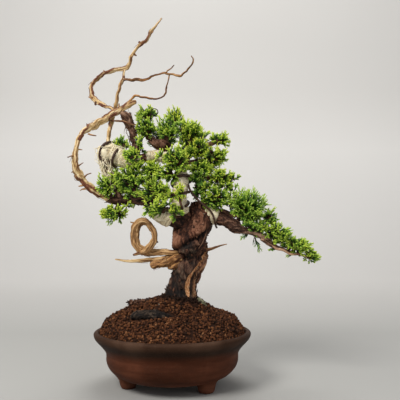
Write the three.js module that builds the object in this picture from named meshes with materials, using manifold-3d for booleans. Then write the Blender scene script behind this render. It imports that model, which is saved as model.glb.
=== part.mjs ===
// Itoigawa juniper bonsai, a semi-cascade tree with deadwood, in a round three-footed pot.
// Millimetres, +Z up. The wood is laid out as it is seen from the front: a place is
// [x, z, depth], where x and z are read in the upright plane through the pot's centre and
// depth says how far behind that plane (negative: in front of it) the wood really lies.

import * as THREE from "three";
import { mergeVertices } from "three/addons/utils/BufferGeometryUtils.js";
import Module from "manifold-3d";

const wasm = await Module();
wasm.setup();

// Driving dimensions
const GAP = 0.3;
const EYE = new THREE.Vector3(27, -574, 147);
const TREE_CENTRE_X = 22.8;
const TREE_CENTRE_Y = 0;

const POT_SIDES = 28;
const FOOT_SIDES = 8;
const POT_OUTLINE = [
  [8, 9], [46, 9], [53, 11.4], [58.6, 15.2], [62.8, 20.6], [64.5, 27], [64.4, 31.6], [66.6, 36],
  [73, 43.6], [77, 49.2], [76.6, 51.6], [72.6, 52.9],
];
const POT_INSIDE = [[66.2, 42], [59.8, 32], [58.6, 22.6], [50, 14.4], [8, 14.4]];
const FOOT_RING_RADIUS = 44;
const FOOT_FIRST_ANGLE = -71.7;
const FOOT_OUTLINE = [[0, 0], [5.8, 0], [7.8, 2.4], [9.8, 10], [9.8, 12.4], [0, 12.4]];

const SOIL_SIDES = 34;
const SOIL_EDGE_RADIUS = 71.2;
const SOIL_EDGE_HEIGHT = 51.6;
const SOIL_LEFT = [
  [10, 86.6], [20, 83.6], [30, 80.6], [44, 74.8], [53, 70.4], [60, 66.8], [66, 62.6], [71.2, 51.6],
];
const SOIL_RIGHT = [
  [10, 87.6], [19, 86.6], [27, 82.8], [36, 76.6], [43, 72.4], [52, 69], [62, 65.8], [71.2, 51.6],
];
const SOIL_UNDERSIDE = [[59.3, 32.2], [58.1, 22.9], [49.7, 14.8]];
const SOIL_RINGS = [10, 20, 29, 38, 46, 54, 61, 67];
const GRAIN_HEIGHT = 2;

// Limbs of living wood: stations of [x, z, depth, radius], from the root end outwards
const TRUNK = [
  [8, 60, 2, 11], [8, 74, 2, 15], [8, 86, 1, 16.2], [9, 95, 0, 14], [11.3, 104, 0, 13],
  [14.3, 113, 0, 13.2], [18, 121, 1, 12.3], [18.3, 129, 1, 14.6], [16.4, 137, 0, 18.2],
  [17.3, 145, 0, 18], [19.3, 153, 0, 17.2], [23, 160, 0, 16.2], [24.2, 167, 0, 13.8],
  [24, 173, 0, 9.6], [23.5, 177, 0, 5],
];
const LEADER = [
  [13, 160, -5, 7.4], [7.6, 170, -11, 6.4], [5.6, 180, -14, 5.6], [6.6, 190, -15, 5.4],
  [8, 198, -13, 5.2], [8, 206, -6, 5], [6, 213, 0, 4.8], [2, 220, 2, 4.5], [-5, 224.6, 0, 4.2],
  [-14, 226, -2, 4], [-25, 225.4, -4, 4], [-35, 222.4, -6, 4.8], [-46, 220.6, -8, 5.8],
  [-56, 225.4, -9, 6.4], [-66, 232.4, -8, 6.6],
];
const ELBOW_DOWN = [
  [-66.6, 233, -8, 6], [-67.4, 223, -8, 5.8], [-66, 213, -7, 4.8], [-62.6, 204, -6, 3.8],
  [-58, 195, -5, 3.4], [-55, 187, -5, 3.2], [-54, 180.5, -6, 2.6],
];
const LOWER_LEFT = [
  [15, 156, -3, 9], [5, 159.8, -8, 8], [-4, 162.8, -12, 6.8], [-12, 166.2, -14, 5.8],
  [-20, 171.8, -14, 5], [-27, 178.8, -12, 4.2], [-36, 181.4, -9, 4], [-48, 181.8, -6, 4],
  [-60, 181, -4, 3.5], [-65, 181.8, -3, 3.1],
];
const CASCADE = [
  [24, 164, 0, 9.5], [34, 167, 0, 8], [42, 165, -2, 7], [49, 162, -4, 6.4], [56, 159, -6, 5.9],
  [63, 154.5, -7, 5.3], [70, 151.4, -8, 4.3], [78, 149.6, -8, 3.7], [86, 146.4, -8, 3.5],
  [93, 141.8, -7, 3], [100, 137, -6, 2.5], [108, 133.4, -6, 2], [117, 130.4, -5, 1.6],
  [128, 127.6, -4, 1.2], [138, 125.2, -4, 0.8],
];
const ROUGH_STUB = [
  [-38, 223, -5, 3.6], [-38.6, 232, -6, 3.9], [-40, 242, -5, 3.9], [-42.6, 251, -4, 4.1],
  [-45.4, 260, -3, 4.5], [-49, 266.4, -3, 4.3], [-51.4, 269.4, -2, 2.6],
];
const DARK_BOUGH = [
  [2, 222, 2, 4.6], [-4, 230, 0, 4.8], [-11, 236.4, -3, 5.6], [-18, 239, -4, 5],
  [-24, 243.6, -2, 3.4], [-28, 250, 0, 2.2],
];
const RIGHT_BOUGH = [
  [4, 218, 1, 3.8], [11, 226, 6, 3.2], [19, 230, 6, 2.8], [27, 234, 2, 2.6], [37, 238, 0, 2.1],
  [48, 243, 0, 1.3],
];
const RIGHT_MIDDLE_BOUGH = [
  [9, 204, -7, 3.2], [18, 204, -5, 2.6], [28, 204.6, -3, 2.3], [38, 204.4, -3, 2], [49, 205, -4, 1.3],
];
const SMALL_BRANCHES = [
  [[-27, 247, -1, 2], [-29, 256, 3, 1.8], [-28, 263, 5, 1.5], [-28, 269, 6, 1]],
  [[-34, 223, -6, 2.4], [-36, 230, -12, 1.8], [-36, 237, -11, 1.2]],
  [[-9, 236, -1, 3.2], [-7, 245, -3, 2.3], [-5, 253, -5, 1.5]],
  [[-6, 249, -3, 1.9], [-1, 258, 1, 1.6], [1, 266, 4, 1]],
  [[15, 228, 6, 2.6], [17, 240, 4, 2], [17, 252, 0, 1.3]],
  [[23, 232, 4, 2.2], [26, 233, -4, 1.4]],
  [[30, 235, 1, 2], [38, 230, -2, 1.7], [46, 227, -4, 1.1]],
  [[6, 212, -2, 2.8], [3, 217, -16, 2], [2, 224, -29, 1.4]],
  [[4, 215, -9, 1.8], [-3, 211, -20, 1.1]],
  [[22, 204.2, -4, 2], [27, 210, -5, 1.6], [31, 217, -4, 1.2]],
  [[31, 170, 0, 4], [35, 179, -4, 2.6], [41, 184, -7, 2], [47, 185, -8, 1.3]],
  [[29, 172, 0, 3], [31, 184, -3, 2], [27, 195, -5, 1.2]],
  [[4, 216, 2, 3.2], [-1, 226, 14, 2.6], [-7, 235, 22, 2], [-12, 244, 27, 1.3]],
  [[6, 210, -2, 3], [13, 220, 12, 2.7], [17, 230, 22, 2], [18, 238, 28, 1.3]],
  [[12, 218, 9, 2.2], [24, 221, 17, 1.9], [36, 222, 22, 1.2]],
  [[-46, 223, -8, 2.6], [-51, 230, -5, 2], [-54, 237, -2, 1.3]],
  [[-39, 224, -7, 2.2], [-42, 227, -20, 1.2]],
  [[-58, 181.4, -5, 2.4], [-64, 189, -7, 1.9], [-68, 197, -7, 1.2]],
  [[-33, 180.6, -10, 2.6], [-38, 190, -11, 2.1], [-44, 199, -9, 1.4]],
  [[-40, 181, -8, 2.4], [-44, 188, 4, 2], [-48, 196, 15, 1.3]],
  [[-21, 174.6, -14, 2.8], [-20, 182, -15, 2.2], [-20, 190, -14, 1.4]],
  [[-21, 186, -14, 1.8], [-23, 200, -11, 1.5], [-22, 213, -9, 1]],
  [[-51, 181, -6, 2.2], [-56, 175, -9, 1.7], [-60, 168, -9, 1.1]],
  [[-8, 167.4, -14, 2.6], [-10, 169.6, -21, 1.6], [-11, 173, -24, 1.2]],
  [[9, 172, -11, 2.4], [9, 174, -24, 1.4], [7, 181, -31, 1.2], [7, 189, -31, 0.9]],
  [[42, 169, -2, 2.6], [49, 170.4, -4, 2.4], [56, 168, -5, 2.3], [63, 166, -6, 2.2], [77, 174, -7, 1.4]],
  [[60, 157, -7, 2.4], [67, 163, 3, 1.9], [75, 170, 13, 1.3]],
  [[86, 147, -8, 2.2], [93, 156, -7, 1.8], [98, 165, -6, 1.1]],
  [[93, 142, -7, 2], [99, 146, -7, 1.5], [104, 149.4, -7, 1.1]],
  [[114, 131.4, -5, 1.4], [120, 135, -5, 1.2], [126, 137.4, -5, 0.9]],
];

// Deadwood
const GREAT_ARC = [
  [-64, 182, -3, 3.7], [-69, 184.4, -3, 3.8], [-76, 188.6, -4, 4], [-84, 194, -6, 4.1],
  [-89.6, 199.6, -8, 3.8], [-94, 206, -10, 4], [-97.6, 214, -12, 3.8], [-99, 222, -13, 3.2],
  [-98.6, 230, -13, 2.9], [-96.4, 238, -12, 3.4], [-93, 246, -10, 3.8], [-87, 252.6, -8, 4.2],
  [-79, 256.8, -6, 3.7], [-71, 261.6, -4, 3.6], [-65.6, 266, -3, 3.6], [-60, 269.6, -3, 3.4],
  [-54, 272.4, -4, 3.3], [-48, 276, -6, 3.3], [-43, 279.4, -7, 3.2], [-38.6, 280.8, -8, 2.4],
];
const UPPER_LOOP = [
  [-57, 271, -3, 2.7], [-63, 273.6, -1, 2], [-70, 277.6, 3, 2.1], [-76.6, 281.6, 7, 2.3],
  [-81.4, 286, 10, 2.4], [-83.4, 294, 12, 2.5], [-81, 300, 13, 2.2], [-77, 305.4, 12, 2.1],
  [-70.6, 310, 10, 2.1], [-63, 312, 7, 2.1], [-55, 314, 3, 2], [-47.6, 315.4, 0, 2],
  [-45, 321, -2, 2.1], [-43, 327, -4, 2.3], [-39.4, 332, -5, 2.1], [-36, 337.4, -6, 1.8],
  [-33, 341.4, -7, 2], [-28, 344, -8, 1.6], [-25, 349, -8, 1.4], [-23.6, 353, -8, 1.7],
  [-19, 358, -8, 1.1], [-12.4, 367.6, -8, 0.6],
];
const STRAIGHT_STICK = [
  [-66, 239, -7, 2.3], [-65.4, 246, -4, 2.1], [-63.6, 255, 0, 2], [-61.4, 264, 4, 1.9],
  [-59.2, 273, 4, 2], [-57.6, 282, 4, 2], [-56, 290, 3, 1.8], [-54.4, 298, 2, 1.8],
  [-51.4, 304.6, 1, 2], [-50, 313.4, 1, 1.6],
];
const RIGHT_WHIP = [
  [-52, 304, 1, 1.5], [-45, 303.6, 0, 1.3], [-37, 303.6, -2, 1.8], [-30, 303, -4, 1.2],
  [-22, 306, -6, 1.2], [-14, 309.8, -8, 1.2], [-7, 310.4, -9, 1.2], [0, 308.8, -10, 1.1],
  [8, 307.6, -11, 1.1], [12, 312, -11, 1.1], [18.4, 319.4, -12, 1], [19.8, 324, -12, 0.8],
  [18.2, 328.4, -12, 0.5],
];
const WHIP_LINK = [
  [-3.4, 309.4, -9, 1.1], [-5.4, 302, -9, 1], [-7.4, 294, -8, 1], [-8.4, 288.6, -8, 1.1],
  [-13, 285.4, -8, 1], [-20, 283.6, -8, 1.1], [-27, 285.4, -8, 1.1], [-34, 287, -8, 1.1],
  [-39, 287.4, -7, 1.3], [-44, 283, -7, 1.4], [-49, 277, -6, 1.5],
];
const CROSSING_TWIG = [
  [-62.4, 262, 2, 1.1], [-55, 261.6, -6, 1], [-48, 260.6, -10, 1],
  [-42, 259, -10, 0.8], [-36, 257, -9, 0.5],
];
const CROWN_THORNS = [
  [[-8, 310.4, -9, 0.8], [-4, 314, -9, 0.6], [0.6, 319, -9, 0.3]],
  [[-86, 253, -8, 1.4], [-87, 259, -8, 0.4]],
  [[-89, 251, -9, 2], [-93.6, 248, -12, 0.7]],
  [[-86, 247.6, -9, 1.2], [-77.6, 246.4, -10, 0.6]],
  [[-97.6, 232, -12, 1.2], [-92, 231.6, -12, 0.4]],
  [[-99, 226, -13, 1.2], [-106, 224.6, -20, 0.5]],
  [[-96, 215, -12, 1.2], [-90.4, 219.6, -13, 0.35]],
  [[-97, 211, -11, 1.2], [-102, 209.2, -12, 0.4]],
  [[-91, 203, -9, 1.4], [-88.4, 205, -10, 1], [-83, 207.6, -11, 0.4]],
  [[-88, 197.6, -8, 1.6], [-94.6, 196, -10, 0.7]],
  [[-86, 193.4, -7, 1.4], [-93.6, 191, -8, 0.4]],
  [[-81, 284.6, 9, 1.6], [-86.4, 286, 9, 0.5]],
  [[-82, 294, 12, 1.6], [-86, 295.4, 12, 0.5]],
  [[-55, 272.6, -3, 1.4], [-54.6, 279, -3, 0.4]],
];
const RING_START = [
  [9, 128, -6, 3.4], [0, 128.6, -9, 3.4], [-8, 129.4, -9, 3.3], [-16, 129.8, -8, 3.3],
  [-23, 129.8, -7, 3.3], [-30, 131, -7, 3.6], [-35, 134.8, -8, 4], [-37.6, 141, -9, 4.1], [-38, 149, -10, 4],
  [-36.2, 155.6, -12, 3.9], [-31, 159.8, -13, 3.8], [-25.4, 158.4, -14, 3.5], [-21, 153, -15, 3.3],
];
const RING_END = [
  [-22, 154.6, -15, 3.2], [-19.6, 150, -15.5, 3.2], [-18.8, 144.6, -15.5, 3.1], [-20.6, 138.6, -15, 3],
  [-24.4, 133.8, -14, 2.8], [-29, 130, -12, 2.2], [-34, 128.6, -10, 1.4], [-39.4, 127, -9, 0.7],
];
const FLAT_SPIKE = [
  [6, 123.8, -6, 2.8], [-6, 123.6, -9, 2.7], [-18, 122.4, -10, 2.4], [-31, 121.2, -11, 2],
  [-44, 120.6, -12, 1.4], [-57.4, 122.2, -12, 0.5],
];
const BROKEN_STUB = [
  [8, 126, -6, 4.6], [0, 123.4, -9, 5], [-7, 120.6, -11, 5.1],
  [-14, 118.6, -12, 4.8], [-20.4, 116.4, -13, 3.6],
];
const STUB_LOBE = [[6, 119, -8, 3.4], [0, 115.4, -10, 3.4], [-4, 114.4, -11, 2.2]];
const RING_THORNS = [
  [[-35.6, 157, -12, 1.4], [-42.6, 159.4, -12, 0.5]],
  [[-18.6, 142, -15, 1.4], [-15, 139.2, -15, 0.5]],
  [[8, 122, -8, 3.4], [2, 122, -9, 2.6]],
];
const RIGHT_SPIKE = [
  [28, 129.6, -6, 1.8], [37, 132.4, -7, 1.4], [46, 135.6, -8, 0.9], [53.6, 137.4, -9, 0.4],
];
const FRONT_ROOT = [
  [-40, 68, -37, 2.2], [-32, 69.4, -38.6, 3.8], [-22, 69.4, -40, 4.6],
  [-12, 68.4, -40, 4], [-2, 66.4, -38.6, 2.4],
];
const LEFT_ROOT = [[-20, 81, 0, 3], [-30, 80.6, -2, 2.8], [-38, 80.2, -3, 2.2], [-44, 79.4, -4, 1]];

// Raffia is wound over these stretches, given as first and last station of the limb
const RAFFIA_THICKNESS = 2;
const RAFFIA_STRETCHES = [
  ["raffia_arch", LEADER, 1, 5],
  ["raffia_middle", LEADER, 8, 10],
  ["raffia_lower_left", LOWER_LEFT, 2, 4],
  ["raffia_cascade", CASCADE, 1, 2],
];
const WIRE_RADIUS = 1.4;
const WIRE_SIDES = 4;
// A wire is wound twice round the elbow: over the roll, under it, up behind and round the corner
const ELBOW_WIRE = [
  [-53, 231.6, -2], [-54.4, 233.6, -8.6], [-56.4, 231.8, -15.4], [-59.2, 227.6, -18.8], [-61, 222.4, -18.4],
  [-61, 218, -15.4], [-58.6, 215, -10], [-57, 215.6, -3], [-58, 222, 1.6], [-59.4, 230.6, 2.2],
  [-60.4, 237, -1.4], [-61.6, 240.4, -8], [-65, 241.4, -13.4], [-69.6, 240.4, -14.4], [-73.4, 236.8, -14.6],
  [-75.4, 231.6, -13.4], [-76, 227, -10.6], [-76, 223.6, -7],
];
// One wire runs down from the arch over the front of the fork and round the cascade's root
const LINK_WIRE = [
  [15, 197, -19], [17.4, 191, -18], [21, 186, -15.5], [25.6, 181, -14.5], [30.6, 176.6, -14],
  [35.6, 172.6, -13.5], [39.4, 167.4, -13.4], [41.4, 161.4, -13], [42.6, 156.4, -9.6], [43.6, 154, -3],
];

// Foliage tufts: name, centre [x, z, depth] and half-extents [across, up, deep]
const TUFTS = [
  ["crown_tip_left", [-28, 270, 6], [11, 8, 8]],
  ["crown_tip_middle", [1, 267, 4], [8.5, 8.5, 8]],
  ["crown_left", [-27, 254, -2], [13, 12.5, 14]],
  ["crown_left_low", [-35, 237, -11], [8, 10.5, 8]],
  ["crown_middle", [-5, 254, -5], [15, 13, 15]],
  ["crown_right", [17, 252, 0], [14.5, 12, 15]],
  ["crown_right_low", [25, 234, -5], [14, 12, 13]],
  ["crown_front_high", [2, 224, -29], [13, 14, 9]],
  ["crown_front_low", [-4, 209, -20], [11, 10, 8]],
  ["crown_back_left", [-12, 245, 29], [18, 13, 14]],
  ["crown_back_right", [18, 239, 30], [16, 14, 14]],
  ["crown_back_low", [36, 222, 24], [14, 11, 13]],
  ["right_high", [47, 243, 0], [11, 7.5, 10]],
  ["right_rising", [30, 217, -4], [14, 10, 10]],
  ["right_low", [46, 227, -4], [9.5, 9.5, 9]],
  ["right_middle", [47, 204, -4], [16, 10, 13]],
  ["right_lower", [44, 183, -8], [14.5, 13.5, 12]],
  ["inner_right", [28, 196, -5], [6.5, 12, 6.5]],
  ["left_upright", [-54, 237, -2], [8.5, 9.5, 8]],
  ["left_knot", [-42, 227, -20], [9, 8, 5]],
  ["left_outer", [-67, 196, -7], [11.5, 12, 11]],
  ["left_middle", [-44, 198, -9], [15, 14.5, 13]],
  ["left_back", [-48, 196, 17], [15, 12, 12]],
  ["left_inner", [-19, 191, -14], [14.5, 15, 13]],
  ["left_inner_high", [-21, 211, -9], [12, 11, 9]],
  ["left_drooping", [-60, 168, -9], [12, 9, 9]],
  ["front_low", [-11, 172, -23], [18, 7.5, 6]],
  ["front_shoot", [7, 189, -31], [4.5, 9, 4.5]],
  ["cascade_first", [76, 174, -7], [21, 18, 15]],
  ["cascade_first_back", [75, 170, 16], [16, 13, 11]],
  ["cascade_shoulder", [96, 163, -6], [9, 11, 9]],
  ["cascade_second", [105, 149.4, -7], [15, 9.5, 10]],
  ["cascade_third", [124, 137.4, -5], [14, 9, 9]],
  ["cascade_tip", [137.6, 126.4, -4], [9, 5.6, 6]],
];
const TUFT_FULLNESS = 1.32;
const TUFT_CORE = 0.4;
const TUFT_CORE_SPREAD = 0.26;
const BIG_TUFT_AREA = 1450;
const MIDDLE_TUFT_AREA = 500;
const MAIN_TIP_REACH = [0.72, 0.96];
const SIDE_TIP_REACH = [0.6, 0.88];
const SIDE_TIP_SHARE = 0.5;
const SPRAY_LEAN = 0.5;
const ENTRY_CONE = 0.78;
const LAST_STRETCH_SHARE = 0.8;

// Drooping sprays under the cascade: root, tip and the side twigs' reach
const UNDER_SPRAYS = [
  ["under_spray_1", [[76, 149, -9], [73, 146, -10], [67.6, 143, -11]], 5],
  ["under_spray_2", [[81, 148, -9], [83, 140, -10], [86, 130.6, -11]], 4],
  ["under_spray_3", [[105, 134.4, -7], [101, 133.4, -8], [94.6, 131.4, -9]], 5],
  ["under_spray_4", [[122, 129, -5], [118, 126.6, -6], [113, 125.6, -7]], 4],
];

// A repeatable random value from 0 to 1 for three whole numbers
function chance(first, second, third) {
  let mixed = Math.imul(first + 1, 0x9e3779b1) ^ Math.imul(second + 7, 0x85ebca6b);
  mixed ^= Math.imul(third + 13, 0xc2b2ae35);
  mixed = Math.imul(mixed ^ (mixed >>> 15), 0x2c1b3c6d);
  mixed = Math.imul(mixed ^ (mixed >>> 12), 0x297a2d39);
  return ((mixed ^ (mixed >>> 15)) >>> 0) / 4294967296;
}

// The point at a depth that is seen at x, z of the upright plane, and its size factor there
function seen(x, z, depth) {
  const scale = 1 + depth / -EYE.y;
  return new THREE.Vector3(EYE.x + (x - EYE.x) * scale, depth, EYE.z + (z - EYE.z) * scale);
}

function seenScale(depth) {
  return 1 + depth / -EYE.y;
}

// Solids and surfaces
function solidOf(geometry) {
  const bare = geometry.clone();
  bare.deleteAttribute("normal");
  bare.deleteAttribute("uv");
  const merged = mergeVertices(bare, 1e-4);
  const vertProperties = new Float32Array(merged.attributes.position.array);
  const triVerts = new Uint32Array(merged.index.array);
  return new wasm.Manifold(new wasm.Mesh({ numProp: 3, vertProperties, triVerts }));
}

function geometryOf(solid) {
  const mesh = solid.getMesh();
  const geometry = new THREE.BufferGeometry();
  geometry.setAttribute("position", new THREE.BufferAttribute(mesh.vertProperties, 3));
  geometry.setIndex(new THREE.BufferAttribute(mesh.triVerts, 1));
  geometry.computeVertexNormals();
  return geometry;
}

function fuse(solids) {
  return solids.reduce((whole, solid) => whole.add(solid));
}

// The biggest single body of a solid, without loose scraps
function mainBody(solid) {
  const bodies = solid.decompose();
  return bodies.reduce((best, body) => (body.volume() > best.volume() ? body : best));
}

function boxesMeet(first, second) {
  const a = first.boundingBox();
  const b = second.boundingBox();
  return [0, 1, 2].every((axis) => a.min[axis] < b.max[axis] && b.min[axis] < a.max[axis]);
}

function cutBy(solid, cutters) {
  const near = cutters.filter((cutter) => boxesMeet(solid, cutter));
  return near.reduce((rest, cutter) => rest.subtract(cutter), solid);
}

// A limb's centre line with radii and a frame that doesn't twist, at even steps
function courseOf(stations, stepsPerStation) {
  const curve = new THREE.CatmullRomCurve3(stations.map(([x, z, depth]) => seen(x, z, depth)));
  const last = stations.length - 1;
  const count = Math.max(2, Math.round(last * stepsPerStation));
  const course = [];
  for (let step = 0; step <= count; step += 1) {
    const along = (step / count) * last;
    const from = Math.min(Math.floor(along), last - 1);
    const radius = THREE.MathUtils.lerp(stations[from][3], stations[from + 1][3], along - from);
    const depth = THREE.MathUtils.lerp(stations[from][2], stations[from + 1][2], along - from);
    course.push({ centre: curve.getPoint(step / count), radius: radius * seenScale(depth) });
  }
  let side = new THREE.Vector3(0.13, -1, 0.07);
  course.forEach((ring, step) => {
    const ahead = course[Math.min(step + 1, count)].centre;
    const behind = course[Math.max(step - 1, 0)].centre;
    ring.tangent = ahead.clone().sub(behind).normalize();
    side = side.clone().addScaledVector(ring.tangent, -side.dot(ring.tangent)).normalize();
    ring.side = side;
    ring.across = new THREE.Vector3().crossVectors(ring.tangent, side);
  });
  return course;
}

// A closed limb: rings of points round the course, with a domed cap at each end
function limb(course, sides, relief = () => 1, extra = 0) {
  const positions = [];
  const indices = [];
  course.forEach((ring, step) => {
    for (let corner = 0; corner < sides; corner += 1) {
      const angle = (corner / sides) * 2 * Math.PI;
      const reach = ring.radius * relief(step, angle, corner) + extra;
      const point = ring.centre.clone();
      point.addScaledVector(ring.side, reach * Math.cos(angle));
      point.addScaledVector(ring.across, reach * Math.sin(angle));
      positions.push(point.x, point.y, point.z);
    }
  });
  const first = course[0];
  const last = course[course.length - 1];
  const root = first.centre.clone().addScaledVector(first.tangent, -0.45 * first.radius - extra);
  const tip = last.centre.clone().addScaledVector(last.tangent, 0.7 * last.radius + extra);
  positions.push(root.x, root.y, root.z, tip.x, tip.y, tip.z);
  const rootIndex = course.length * sides;
  const topRing = (course.length - 1) * sides;
  for (let corner = 0; corner < sides; corner += 1) {
    const next = (corner + 1) % sides;
    for (let step = 0; step + 1 < course.length; step += 1) {
      const low = step * sides;
      const high = low + sides;
      indices.push(low + corner, low + next, high + next, low + corner, high + next, high + corner);
    }
    indices.push(rootIndex, next, corner, rootIndex + 1, topRing + corner, topRing + next);
  }
  const geometry = new THREE.BufferGeometry();
  geometry.setAttribute("position", new THREE.Float32BufferAttribute(positions, 3));
  geometry.setIndex(indices);
  return solidOf(geometry);
}

// Surface relief of bark, seeded, and of twisted deadwood grain
const barkRelief = (seed, depth) => (step, angle, corner) => 1 + depth * (2 * chance(seed, step, corner) - 1);
const grainRelief = (depth, twist) => (step, angle) => 1 + depth * Math.cos(2 * angle + twist * step);

// Each limb is a recipe, so that its solid and the clearance round it come from the same course
function recipe(stations, stepsPerStation, sides, relief) {
  const course = courseOf(stations, stepsPerStation);
  return (extra = 0) => limb(course, sides, relief, extra);
}

function solidsOf(recipes) {
  return recipes.map((make) => make());
}

function clearancesOf(recipes) {
  return recipes.map((make) => make(GAP));
}

// The pot with its drain hole and feet
function makePot() {
  const outline = [...POT_OUTLINE, ...POT_INSIDE, POT_OUTLINE[0]];
  const bowl = solidOf(new THREE.LatheGeometry(outline.map(([r, z]) => new THREE.Vector2(r, z)), POT_SIDES)
    .rotateX(Math.PI / 2));
  const feet = [0, 120, 240].map((turn) => {
    const foot = new THREE.LatheGeometry(FOOT_OUTLINE.map(([r, z]) => new THREE.Vector2(r, z)), FOOT_SIDES);
    foot.rotateX(Math.PI / 2);
    const angle = THREE.MathUtils.degToRad(FOOT_FIRST_ANGLE + turn - 90);
    foot.translate(FOOT_RING_RADIUS * Math.cos(angle), FOOT_RING_RADIUS * Math.sin(angle), 0);
    return solidOf(foot);
  });
  return fuse([bowl, ...feet]);
}

// Height of the mound along one side, from the hand-set outline of that side
function outlineHeight(outline, radius) {
  const next = outline.findIndex(([r]) => r >= radius);
  if (next <= 0) {
    return next === 0 ? outline[0][1] : SOIL_EDGE_HEIGHT;
  }
  const [r0, z0] = outline[next - 1];
  const [r1, z1] = outline[next];
  return THREE.MathUtils.mapLinear(radius, r0, r1, z0, z1);
}

function moundHeight(radius, angle) {
  const rightness = (1 + Math.cos(angle)) / 2;
  const [left, right] = [outlineHeight(SOIL_LEFT, radius), outlineHeight(SOIL_RIGHT, radius)];
  return THREE.MathUtils.lerp(left, right, rightness);
}

// The soil fills the pot; its top is a mound whose points are raised and shifted like grains
function makeSoil() {
  const profile = [[0, 14.8], ...SOIL_UNDERSIDE.slice().reverse(), [SOIL_EDGE_RADIUS, SOIL_EDGE_HEIGHT]];
  const firstTop = profile.length;
  SOIL_RINGS.slice().reverse().forEach((radius) => profile.push([radius, moundHeight(radius, 0)]));
  profile.push([0, SOIL_LEFT[0][1]]);
  const geometry = new THREE.LatheGeometry(profile.map(([r, z]) => new THREE.Vector2(r, z)), SOIL_SIDES);
  geometry.rotateX(Math.PI / 2);
  const places = geometry.attributes.position;
  for (let side = 0; side <= SOIL_SIDES; side += 1) {
    for (let ring = firstTop; ring < profile.length - 1; ring += 1) {
      const index = side * profile.length + ring;
      const turn = side % SOIL_SIDES;
      const spin = (turn / SOIL_SIDES) * 2 * Math.PI - Math.PI / 2 + (chance(31, turn, ring) - 0.5) * 0.07;
      const radius = profile[ring][0] + (chance(37, turn, ring) - 0.5) * 2.4;
      const height = moundHeight(radius, spin) + (chance(41, turn, ring) - 0.5) * 2 * GRAIN_HEIGHT;
      places.setXYZ(index, radius * Math.cos(spin), radius * Math.sin(spin), height);
    }
  }
  return solidOf(geometry);
}

// Tufts: centres and half-extents in real space, and the planes that keep neighbours apart
const tufts = TUFTS.map(([name, [x, z, depth], [across, up, deep]], number) => {
  const scale = seenScale(depth);
  return {
    name,
    number,
    centre: seen(x, z, depth),
    extents: new THREE.Vector3(across, deep, up).multiplyScalar(scale * TUFT_FULLNESS),
    planes: [],
    entries: [],
  };
});

function reachAlong(tuft, direction) {
  return tuft.extents.clone().multiply(direction).length();
}

tufts.forEach((tuft) => {
  tufts.filter((other) => other !== tuft).forEach((other) => {
    const normal = other.centre.clone().sub(tuft.centre);
    const distance = normal.length();
    normal.divideScalar(distance);
    const own = reachAlong(tuft, normal);
    const theirs = reachAlong(other, normal);
    if (own + theirs > distance - GAP) {
      tuft.planes.push({ normal, limit: (distance * own) / (own + theirs) - GAP });
    }
  });
});

// The side of a tuft where its branch comes in stays plain, without sprays
const allBranches = [RIGHT_BOUGH, RIGHT_MIDDLE_BOUGH, CASCADE, ...SMALL_BRANCHES];
allBranches.forEach((stations) => {
  const [before, end] = stations.slice(-2).map(([x, z, depth]) => seen(x, z, depth));
  const nearest = tufts.reduce((best, tuft) => (
    tuft.centre.distanceTo(end) < best.centre.distanceTo(end) ? tuft : best
  ));
  nearest.entries.push(before.sub(nearest.centre).divide(nearest.extents).normalize());
});

// How far a step from the tuft's centre may go before it meets a neighbour's side
function roomFor(tuft, offset) {
  let room = Infinity;
  tuft.planes.forEach(({ normal, limit }) => {
    const along = offset.dot(normal);
    if (along > 0) {
      room = Math.min(room, limit / along);
    }
  });
  return Math.max(room, 0);
}

// A tuft: a slim core, each face of which is drawn out into one short spray with its side tips
function makeTuft(tuft) {
  const { x: wide, y: deep, z: high } = tuft.extents;
  const area = wide * deep + wide * high + deep * high;
  const shape = tuftCore(area);
  shape.rotateZ(tuft.number * 1.7);
  shape.rotateX(tuft.number * 0.9);
  shape.deleteAttribute("normal");
  shape.deleteAttribute("uv");
  const ball = mergeVertices(shape, 1e-4);
  const places = ball.attributes.position;
  const directions = [];
  for (let index = 0; index < places.count; index += 1) {
    directions.push(new THREE.Vector3().fromBufferAttribute(places, index).normalize());
  }
  const points = directions.map((direction, index) => (
    placeInTuft(tuft, direction, TUFT_CORE + TUFT_CORE_SPREAD * chance(tuft.number, index, 17))
  ));
  const triangles = [];
  const corners = Array.from(ball.index.array);
  for (let face = 0; face < corners.length / 3; face += 1) {
    addSpray(tuft, face, corners.slice(face * 3, face * 3 + 3), directions, points, triangles);
  }
  return solidFrom(points, triangles);
}

function tuftCore(area) {
  if (area > BIG_TUFT_AREA) {
    return new THREE.IcosahedronGeometry(1, 1);
  }
  return area > MIDDLE_TUFT_AREA ? new THREE.OctahedronGeometry(1, 1) : new THREE.IcosahedronGeometry(1, 0);
}

// A place in a direction from the tuft's centre, drawn in where a neighbour leaves less room
function placeInTuft(tuft, direction, share) {
  const offset = direction.clone().multiply(tuft.extents);
  const reach = Math.min(share, roomFor(tuft, offset) * (0.5 + 0.5 * share));
  return tuft.centre.clone().addScaledVector(offset, reach);
}

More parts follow.
